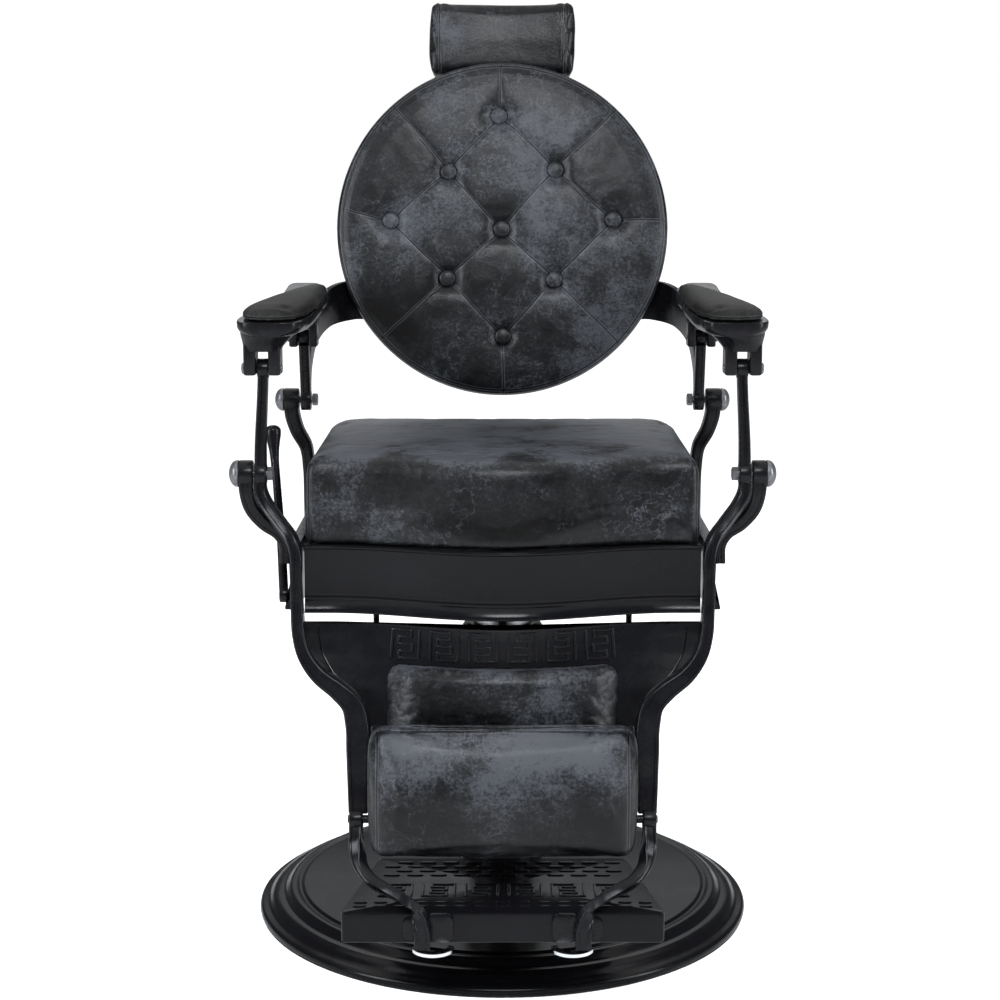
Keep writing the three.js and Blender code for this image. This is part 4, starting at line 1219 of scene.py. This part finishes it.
arm_path = [(189.5, -345, 238), (188, -360, 212), (182, -374, 189), (167, -387, 173), (147, -398, 165)]
arm_path += [(126, -415, 160), (109, -434, 153), (102, -442, 134), (101, -442, 104)]
for side, word in SIDES:
    curve = cast_bar(
        arm_path, (17, 17, 18, 19, 20, 20, 20, 20, 20), (16, 15, 14, 13, 13, 13, 13, 13, 13), ((0, 1, 1),),
        110
    )
    eye = drum((flip_y, flip_z), 181, 198, 13, 2.4, bore_radius=6)
    arm_parts = [curve, eye, front_lug(62, 96, 110, 145.5, -437), front_lug(106, 126, 112, 141, -435)]
    arm_parts.append(front_lug(92, 108, 104, 132, -438))
    make_piece(
        "step_arm_casting_" + word, arm_parts, black_paint, "legrest",
        ["step_arm_" + word], 34, side
    )

tread_low, tread_high = box_mm("step_tread")


def tread_ring(inset, z):
    """The tread's outline, wider at the front, drawn in by inset."""
    front, rear = tread_low.y + inset, tread_high.y - inset
    corners = [(205 - inset, front), (168 - inset, rear), (-168 + inset, rear), (-205 + inset, front)]
    ring = []
    for before, corner, after in zip(corners[-1:] + corners[:-1], corners, corners[1:] + corners[:1]):
        before, corner, after = (np.array(point, float) for point in (before, corner, after))
        start = corner + (before - corner) / np.linalg.norm(before - corner) * 7
        end = corner + (after - corner) / np.linalg.norm(after - corner) * 7
        for t in np.linspace(0, 1, 6):
            ring.append((*((1 - t) ** 2 * start + 2 * t * (1 - t) * corner + t * t * end), z))
    return ring


tread_levels = [(8, 138), (8, 106.6), (6.6, 106), (1, 106), (0, 107), (0, 143), (0.6, 145), (2.5, 146)]
tread_skin = shell([tread_ring(inset, z) for inset, z in tread_levels])
make_piece(
    "step_tread_casting", [tread_skin], gloss_paint, "legrest", ["step_tread"], 34
)
bar_spots, bar_sizes = [], []
for row, row_y in enumerate((-246, -262, -278, -294)):
    for step in range(-5, 6):
        bar_x = step * 31 + (row % 2) * 15 - 7
        if abs(bar_x) < 150:
            bar_spots.append((bar_x, row_y, tread_high.z))
            bar_sizes.append((22, 5, 2.6))
for square in range(-3, 3):
    for bar_x, bar_y, wide, deep in key_bars(square * 56 + 6, -372, square < 0, 46):
        bar_spots.append((bar_x, bar_y, tread_high.z))
        bar_sizes.append((wide, deep, 2.8))
for row_y in (-392, -406):
    for step in range(-7, 8):
        bar_spots.append((step * 26, row_y, tread_high.z))
        bar_sizes.append((17, 5, 2.6))
no_turn = [(0, 0, 0)] * len(bar_spots)
copies(
    "step_tread_bars", bar_seed, bar_spots, no_turn, bar_sizes, gloss_paint, "legrest"
)

for side, word in SIDES:
    glide_rings = []
    for a in np.linspace(math.pi, 2 * math.pi, 41):
        spread = (27 * math.cos(a), -428 + 27 * math.sin(a))
        inner = (19 * math.cos(a), -425 + 20 * math.sin(a))
        section = [(spread, 97.4), (spread, 101.6), (inner, 102), (inner, 97)]
        glide_rings.append([(88 + px, py, pz) for (px, py), pz in section])
    make_piece(
        "step_glide_rim_" + word, [shell(glide_rings)], chrome, "legrest", ["step_glide_" + word],
        40, side
    )

# ---- Armrests, their pads and clevis pins ----
# Hollow-nosed castings that fork over the front lever and the back lever. A teardrop pad in
# black-brown leather sits on each, and plain steel pins join the forks.
beam_line = [
    (-247, 303, 10, 10), (-245, 303, 22, 20), (-240, 303, 34, 20), (-226, 303, 42, 23), (-200, 302, 44, 25)
]
beam_line += [
    (-170, 297, 44, 28), (-130, 290, 40, 28), (-60, 283, 35, 26), (0, 281, 31, 28), (60, 281, 31, 34)
]
beam_line += [(110, 288, 24, 44), (124, 290, 19, 46), (128, 290, 14, 40)]


def arm_top(y):
    return 874 + (y + 235) * 0.08


def arm_section(middle, half, low, high, crown, y):
    """A bowl-shaped section across the arm with a rounded rim."""
    ring = []
    for angle in np.linspace(math.pi, 2 * math.pi, 25):
        rise = abs(math.sin(angle)) ** 0.6
        ring.append((middle + half * math.cos(angle), y, high - 2 - (high - 2 - low) * rise))
    ring.append((middle + half - 0.4, y, high - 0.8))
    for part in np.linspace(1, -1, 13):
        ring.append((middle + (half - 2) * part, y, high + crown * (1 - part * part)))
    ring.append((middle - half + 0.4, y, high - 0.8))
    return ring


def fork(x0, x1, slot_x0, slot_x1, y0, y1, z0, z1, slot_top):
    """Two cheeks and a bridge over the slot between them."""
    return [
        eased_block(x0, slot_x0, y0, y1, z0, z1, 2.5),
        eased_block(slot_x1, x1, y0, y1, z0, z1, 2.5),
        eased_block(x0 + 1, x1 - 1, y0 + 1, y1 - 1, slot_top, z1, 2),
    ]


funnel_levels = [(868, 304, 38, 40, -206), (862, 305, 37.5, 39, -205), (854, 308, 34, 34, -203)]
funnel_levels += [(846, 311.5, 29, 28, -201.5), (839, 314, 25.5, 22, -200.5), (833.5, 315, 24, 19.5, -200)]
beam_points, _ = smooth_path([(y, m, h) for y, m, h, _ in beam_line], 110)
beam_deep = np.interp(beam_points[:, 0], [row[0] for row in beam_line], [row[3] for row in beam_line])
for side, word in SIDES:
    rings = []
    for (y, middle, half), deep in zip(beam_points, beam_deep):
        scoop = 5 * math.exp(-(((y + 238) / 9) ** 2))
        rings.append(arm_section(middle, half, arm_top(y) - deep, arm_top(y) - 0.05 * scoop, 0.01, y))
    arm_parts = [shell(rings)]
    arm_parts += fork(291, 339, 306.7, 323.3, -219, -181, 802, 862, 833)
    arm_parts += fork(271, 312, 283.2, 299.8, 93, 126, 811, 868, 846)
    funnel = []
    for z, middle, half, front_half, mid_y in funnel_levels:
        mouth = rounded_ring(half, front_half, min(half, front_half) * 0.7, 0, 7)
        funnel.append([(middle + px, mid_y + py, z) for px, py, _ in mouth])
    arm_parts.append(shell(funnel))
    body = "arm_" + word
    make_piece(
        "armrest_casting_" + word, arm_parts, black_paint, body, ["armrest_" + word], 34,
        side
    )
    for end, place, x0, x1 in (("front", front_pin, 289.5, 340.5), ("rear", rear_pin, 269.5, 313.5)):
        pin_parts = [drum(place, x0, x1, 5, 0.8), x_turned(domed_head(x1 - 1, 7.5, 3.5), place, 28)]
        pin_nodes = ["arm_%s_pin_%s" % (end, word)]
        make_piece("clevis_%s_pin_%s" % (end, word), pin_parts, bolt_grey, body, pin_nodes, 38, side)

brown_tones = [(0.004, 0.0039, 0.0038), (0.012, 0.0117, 0.0115), (0.03, 0.0295, 0.029)]
brown_leather = worn_leather("arm_pad_leather", *brown_tones, 1.2, 0.55, 0.12)


def pad_held(points):
    return 1 - smoothstep(1.5, 6, points[:, 2] - np.array([arm_top(py) for py in points[:, 1]]))


pad_line = [
    (-241, 302, 5, 3), (-239, 302, 16, 6), (-234, 302, 28, 10), (-224, 302, 37, 14), (-205, 300, 43, 17)
]
pad_line += [
    (-180, 296, 44, 18), (-120, 285, 39, 18), (-50, 274, 29, 16), (20, 264, 17, 12), (50, 261, 9, 8),
    (58, 261, 3, 3)
]
pad_points, _ = smooth_path([(y, m, h) for y, m, h, _ in pad_line], 70)
pad_high = np.interp(pad_points[:, 0], [row[0] for row in pad_line], [row[3] for row in pad_line])
pad_rings = []
for (y, middle, half), high in zip(pad_points, pad_high):
    half = max(half, 2)
    ring = [(middle + half * part, y, arm_top(y) + 0.6) for part in np.linspace(-0.96, 0.96, 9)]
    for a in np.linspace(0, math.pi, 21):
        ring.append((middle + half * math.cos(a), y, arm_top(y) + 1.4 + high * math.sin(a) ** 0.62))
    pad_rings.append(ring)
for side, word in SIDES:
    node = "arm_pad_" + word
    pad_verts, pad_faces = shell(pad_rings)
    pad_source = ([(side * x, y, z) for x, y, z in pad_verts], pad_faces)
    pad = stuffed("arm_leather_pad_" + word, pad_source, 4, (1, 1, 0.3), 1.5, 3, pad_held)
    points = mesh_points(pad.data)
    normals = point_normals(pad.data)
    high = points[:, 2] - np.array([arm_top(py) for py in points[:, 1]])
    out_x = side * points[:, 0]
    dimple = np.exp(-(((out_x - 283) / 7) ** 2) - (((points[:, 1] + 214) / 7) ** 2))
    pinch = np.exp(-(((out_x - 276) / 20) ** 2) - (((points[:, 1] + 219 - 0.12 * (out_x - 283)) / 2.5) ** 2))
    lift = -2.2 * dimple - 1.0 * pinch + 0.5 * cloud(points, 0.02, 3.0)
    pad_seam = np.where(high > 1.5, high - 5.2, NO_SEAM)
    lift -= 0.7 * np.exp(-((pad_seam / 2.0) ** 2))
    set_points(pad.data, points + normals * lift[:, None])
    upholster(pad, brown_leather, "arm_" + word, [node], pad_seam)

# ---- Back levers ----
# Cast brackets that hold the round back. Each turns on the rear pivot and reaches up to the armrest,
# and its broad strap runs round behind the cushion.
rear_x = 291.5
strap_path = [(rear_x, 131, 734), (rear_x, 158, 786), (284, 199, 831), (263, 237, 860)]
strap_path += [(233, 258, 868.5), (196, 260.5, 868.6), (158, 260.5, 868.6)]
strap_hints = [
    (0, 0.88, -0.48), (0, 0.85, -0.53), (0, 0.7, -0.7), (0, 0.3, -0.93), (0, -0.1, -0.99), (0, -0.12, -0.99)
]
for side, word in SIDES:
    post_path = [(rear_x, 130, 742), (rear_x, 120, 778), (rear_x, 110, 815)]
    post = cast_bar(post_path, 14.5, (26, 22, 20), count=50, ease=2.4)
    strap = cast_bar(
        strap_path, (13, 12, 11, 11, 11, 11, 11), (26, 40, 54, 60, 60, 60, 58), strap_hints, 110, 2.4
    )
    hub = drum((rear_pivot_y, rear_pivot_z), rear_x - 7.5, rear_x + 7.5, 16, 2, bore_radius=6)
    eye = drum(rear_pin, rear_x - 7.5, rear_x + 7.5, 11.5, 1.6, bore_radius=7.6)
    lever_parts = [post, strap, hub, eye]
    make_piece(
        "back_bracket_" + word, lever_parts, black_paint, "back", ["back_lever_" + word],
        34, side
    )

# ---- Round back: upholstered rear panel ----
# A dished board covered in the same leather, screwed to the brackets behind the cushion.
lean = math.radians(7)
back_y, back_z = 230, 977


def back_frame(points):
    """World place of points given as x, depth towards the rear, and height along the leaning back."""
    x, depth, up = np.asarray(points, float).T
    y = back_y + depth * math.cos(lean) + up * math.sin(lean)
    z = back_z + up * math.cos(lean) - depth * math.sin(lean)
    return np.stack([x, y, z], axis=1)


def on_back(part):
    """A part made with its turning axis along Z, laid over so that Z points to the sitter."""
    verts, faces = part
    return [tuple(p) for p in back_frame([(x, -z, y) for x, y, z in verts])], faces


panel_line = [(0, -36.6), (150, -36.4), (222, -35.8), (228, -34.4), (232, -35.2), (235, -32), (236, -28)]
panel_line += [(236, -22.4), (0, -22.4)]
rear_cover = revolve(rounded(panel_line, 3), 144)
panel_seam_at = 230.5
cover = make_piece(
    "back_rear_cover", [on_back(rear_cover)], leather, "back", ["back_panel"], 50
)
cover_points = mesh_points(cover.data) - (0, back_y, back_z)
cover_radius = np.hypot(
    cover_points[:, 0], cover_points[:, 2] * math.cos(lean) + cover_points[:, 1] * math.sin(lean)
)
keep_value(cover.data, "seam", cover_radius - panel_seam_at)
screw_seed = revolve([(0, 0), (5.5, 0), (5.5, 0.8), (4.4, 2.2), (2, 3.0), (0, 3.1)], 20)
screw_places = []
for side in (-1, 1):
    for x in (176, 222):
        for up in (-16, 16):
            screw_places.append((side * x, 266, 868.6 + up - 1))
screw_turns = [(-math.pi / 2 - 0.05, 0, 0)] * len(screw_places)
copies(
    "bracket_screws", screw_seed, screw_places, screw_turns, [(1, 1, 1)] * len(screw_places), bolt_grey,
    "back"
)

# ---- Round back: buttoned cushion ----
# A domed cushion drawn in by nine covered buttons. Pinched seams join them in a diamond grid
# and run on to the rim, where a welt closes the edge.
buttons = np.array(
    [(-5, 169), (-81, 85), (80, 88), (-168, 12), (-1, -1), (167, 14), (-83, -75), (78, -77), (1, -162)], float
)
seams = [(0, 1), (0, 2), (1, 3), (1, 4), (2, 4), (2, 5), (3, 6), (4, 6), (4, 7), (5, 7), (6, 8), (7, 8)]
seam_lines = [(buttons[a], buttons[b]) for a, b in seams]
rim_ends = [(0, (0, 250)), (1, (-166, 186)), (2, (172, 182)), (3, (-240, 30)), (5, (250, 11))]
rim_ends += [(6, (-184, -166)), (7, (177, -169)), (8, (0, -250))]
seam_lines += [(buttons[a], np.array(end, float)) for a, end in rim_ends]
grid = 300
cushion_radius = 249.5
welt_radius = 243
u, v = np.meshgrid(np.linspace(-1, 1, grid), np.linspace(-1, 1, grid))
disc_x = (u * np.sqrt(1 - v * v / 2)).ravel() * cushion_radius
disc_z = (v * np.sqrt(1 - u * u / 2)).ravel() * cushion_radius
radius = np.hypot(disc_x, disc_z)
dome_r = [0, 60, 120, 150, 190, 216, 232, 240, 244.5, 247.5, 249, 249.5]
dome_h = [29, 28.6, 27.4, 26, 23.4, 20.6, 17.4, 14.6, 12.4, 9.5, 7, 4]
height = np.interp(radius, dome_r, dome_h)
signed = np.full(radius.shape, 60.0)
depth_here = np.zeros(radius.shape)
spots = np.stack([disc_x, disc_z], axis=1)
wander_x = np.sin(disc_z / 31 + 0.6 * np.sin(disc_x / 23))
wander_z = np.cos(disc_x / 27 + 0.7 * np.sin(disc_z / 19))
wander = np.stack([1.6 * wander_x, 1.6 * wander_z], axis=1)
for number, (start, end) in enumerate(seam_lines):
    run = end - start
    length = np.linalg.norm(run)
    t = np.clip(((spots + wander - start) @ run) / length**2, 0, 1)
    off = spots + wander - (start + t[:, None] * run)
    d = np.linalg.norm(off, axis=1)
    sign = np.sign(run[0] * off[:, 1] - run[1] * off[:, 0])
    closer = d < np.abs(signed)
    signed = np.where(closer, d * np.where(sign == 0, 1, sign), signed)
    to_rim = number >= len(seams)
    along_depth = 1 - 0.55 * np.sin(math.pi * t) if not to_rim else 1 - 0.85 * t
    depth_here = np.where(closer, along_depth, depth_here)
near_seam = np.abs(signed)
height -= depth_here * (2.9 * np.exp(-near_seam / 13) + 1.5 * np.exp(-((near_seam / 3) ** 2)))
for bx, bz in buttons:
    d = np.hypot(disc_x - bx, disc_z - bz)
    angle = np.arctan2(disc_z - bz, disc_x - bx)
    pucker = 1 + 0.16 * np.sin(4 * angle + bx) * smoothstep(8, 20, d)
    height -= 7.5 * np.exp(-((np.maximum(d - 11.5, 0) / (9.5 * pucker)) ** 1.3)) + 2.2 * np.exp(-d / 30)
height += 1.2 * cloud(np.stack([disc_x, disc_z, 0 * disc_x], axis=1), 0.014, 12.5)
height += 0.35 * cloud(np.stack([disc_x, disc_z, 0 * disc_x], axis=1), 0.05, 2.5)
rim_gap = np.abs(radius - welt_radius)
height -= 1.2 * np.exp(-((rim_gap / 2.2) ** 2))
front_points = np.stack([disc_x, -height, disc_z], axis=1)
front_faces = []
for i in range(grid - 1):
    for j in range(grid - 1):
        front_faces.append((i * grid + j, i * grid + j + 1, (i + 1) * grid + j + 1, (i + 1) * grid + j))
edge = [j for j in range(grid)] + [i * grid + grid - 1 for i in range(1, grid)]
edge += [(grid - 1) * grid + j for j in range(grid - 2, -1, -1)] + [i * grid for i in range(grid - 2, 0, -1)]
all_points = [front_points]
all_faces = list(front_faces)
last_ring = edge
offset = len(front_points)
rim_angle = np.arctan2(disc_z[edge], disc_x[edge])
for ring_r, ring_depth in (
    (250.4, 0), (250.6, 3), (249.6, 5.4), (250.6, 8), (250, 12), (248, 17), (243, 21), (238, 22)
):
    ring = np.stack(
        [ring_r * np.cos(rim_angle), np.full(len(edge), float(ring_depth)), ring_r * np.sin(rim_angle)],
        axis=1
    )
    all_points.append(ring)
    this_ring = list(range(offset, offset + len(edge)))
    offset += len(edge)
    for k in range(len(edge)):
        m = (k + 1) % len(edge)
        all_faces.append((last_ring[k], this_ring[k], this_ring[m], last_ring[m]))
    last_ring = this_ring
all_points.append(np.array([(0.0, 22.0, 0.0)]))
all_faces += [(last_ring[k], offset, last_ring[(k + 1) % len(edge)]) for k in range(len(edge))]
local_points = np.concatenate(all_points)
back_mesh = bpy.data.meshes.new("back_buttoned_cushion")
back_mesh.from_pydata([tuple(point) for point in back_frame(local_points) * MM], [], all_faces)
faced_out(back_mesh)
back_cushion = added("back_buttoned_cushion", back_mesh)
back_seam = np.full(len(local_points), NO_SEAM)
back_seam[: len(signed)] = nearest(signed, radius - welt_radius)
upholster(back_cushion, leather, "back", ["back_cushion"], back_seam)

button_arc = [(12.2 * math.cos(a), 2.2 + 3.4 * math.sin(a)) for a in np.radians(np.linspace(0, 90, 10))]
button_line = [(0, -5), (10.8, -5), (12, -2), *button_arc[:-1], (0, 5.6)]
button_verts, button_faces = revolve(button_line, 40)
button_seed = ([(x, -z, y) for x, y, z in button_verts], button_faces)
button_spots = []
for bx, bz in buttons:
    nearest_point = np.hypot(disc_x - bx, disc_z - bz).argmin()
    button_spots.append(back_frame([(bx, -height[nearest_point] - 2.6, bz)])[0])
button_turns = [(-lean, 0, 0)] * len(buttons)
covered = copies(
    "back_buttons", button_seed, button_spots, button_turns, [(1, 1, 1)] * 9, leather, "back"
)
keep_value(covered.data, "seam", NO_SEAM)

# ---- Headrest: socket, knob, stem, plate and pillow ----
# A steel socket on the back clamps a bent chrome stem with a hand knob. The pillow is screwed to
# a plate that tips on the stem's eye.
socket_parts = [
    eased_block(-26, -15.8, 36.3, 74, 60, 130, 2.5),
    eased_block(15.8, 26, 36.3, 74, 60, 130, 2.5),
    eased_block(-25, 25, 36.3, 49.2, 61, 129, 2),
    eased_block(-25, 25, 60.8, 73.8, 61, 129, 2),
]


def back_part(part):
    verts, faces = part
    return [tuple(point) for point in back_frame(verts)], faces


socket_parts = [back_part(part) for part in socket_parts]
make_piece("headrest_socket_clamp", socket_parts, black_paint, "back", ["headrest_socket"])
lobes = []
for h, base_r in ((74.3, 12), (76, 14.4), (79, 15), (90, 15), (93, 14), (94.3, 11)):
    ring = []
    for a in np.linspace(0, 2 * math.pi, 72, endpoint=False):
        r = base_r - (0.9 if 77 < h < 92 else 0.3) * (0.5 + 0.5 * math.cos(8 * a))
        ring.append((r * math.cos(a), h, 95 + r * math.sin(a)))
    lobes.append(ring)
make_piece("headrest_lock_knob", [back_part(shell(lobes))], rubber, "back", ["headrest_knob"])
stem_path = [
    (0, 55, -30), (0, 55, 120), (0, 56, 152), (0, 72, 184), (0, 102, 214), (0, 109, 232), (0, 109, 256)
]
stem = cast_bar(stem_path, 30, 10, count=90, ease=2, bead=3, sink=0.01)
stem_eye = drum((109, 262), -14, 14, 9, 1, bore_radius=4.8)
make_piece(
    "headrest_bent_stem", [back_part(stem), back_part(stem_eye)], chrome, "head_stem",
    ["headrest_stem"]
)
plate_parts = [eased_block(-85, 85, 85.3, 89.5, 246, 334, 1.4)]
plate_parts += [eased_block(side * 20 - 3.5, side * 20 + 3.5, 88, 118, 253, 272, 1.8) for side in (-1, 1)]
plate_parts.append(drum((109, 262), -24.5, 24.5, 4.2, 1))
plate_parts = [back_part(part) for part in plate_parts]
make_piece("headrest_back_plate", plate_parts, black_paint, "head", ["headrest_plate"])


def to_back(points):
    """The reverse of back_frame: x, depth and height along the back."""
    x, y, z = np.asarray(points, float).T
    y, z = y - back_y, z - back_z
    return np.stack(
        [x, y * math.cos(lean) - z * math.sin(lean), z * math.cos(lean) + y * math.sin(lean)], axis=1
    )


def head_held(points):
    return smoothstep(76, 84, to_back(points)[:, 1])


pillow = stuffed("headrest_leather_pillow", "headrest_pad", 4, (1.5, 1, 1.5), 3, 4, head_held)
points = mesh_points(pillow.data)
normals = point_normals(pillow.data)
local = to_back(points)
end_line = np.abs(local[:, 0]) - 95
around = (local[:, 1] > 20) & (local[:, 1] < 82)
head_seam = np.where(around, end_line, NO_SEAM)
lift = -1.6 * np.exp(-((head_seam / 2.6) ** 2)) + 0.8 * cloud(points, 0.02, 6.0)
pucker = (1 - np.abs(cloud(local, (0.12, 0.05, 0.02), 8.0))) ** 4 * np.exp(-((end_line / 9) ** 2))
lift -= 0.9 * pucker
set_points(pillow.data, points + normals * lift[:, None])
# The pillow's leather is drawn darker overall.
upholster(pillow, leather, "head", ["headrest_pad"], head_seam, -0.75)

# ---- Size ----
# The bounds of the drawn chair, leaving out the backdrop.
low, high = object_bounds()
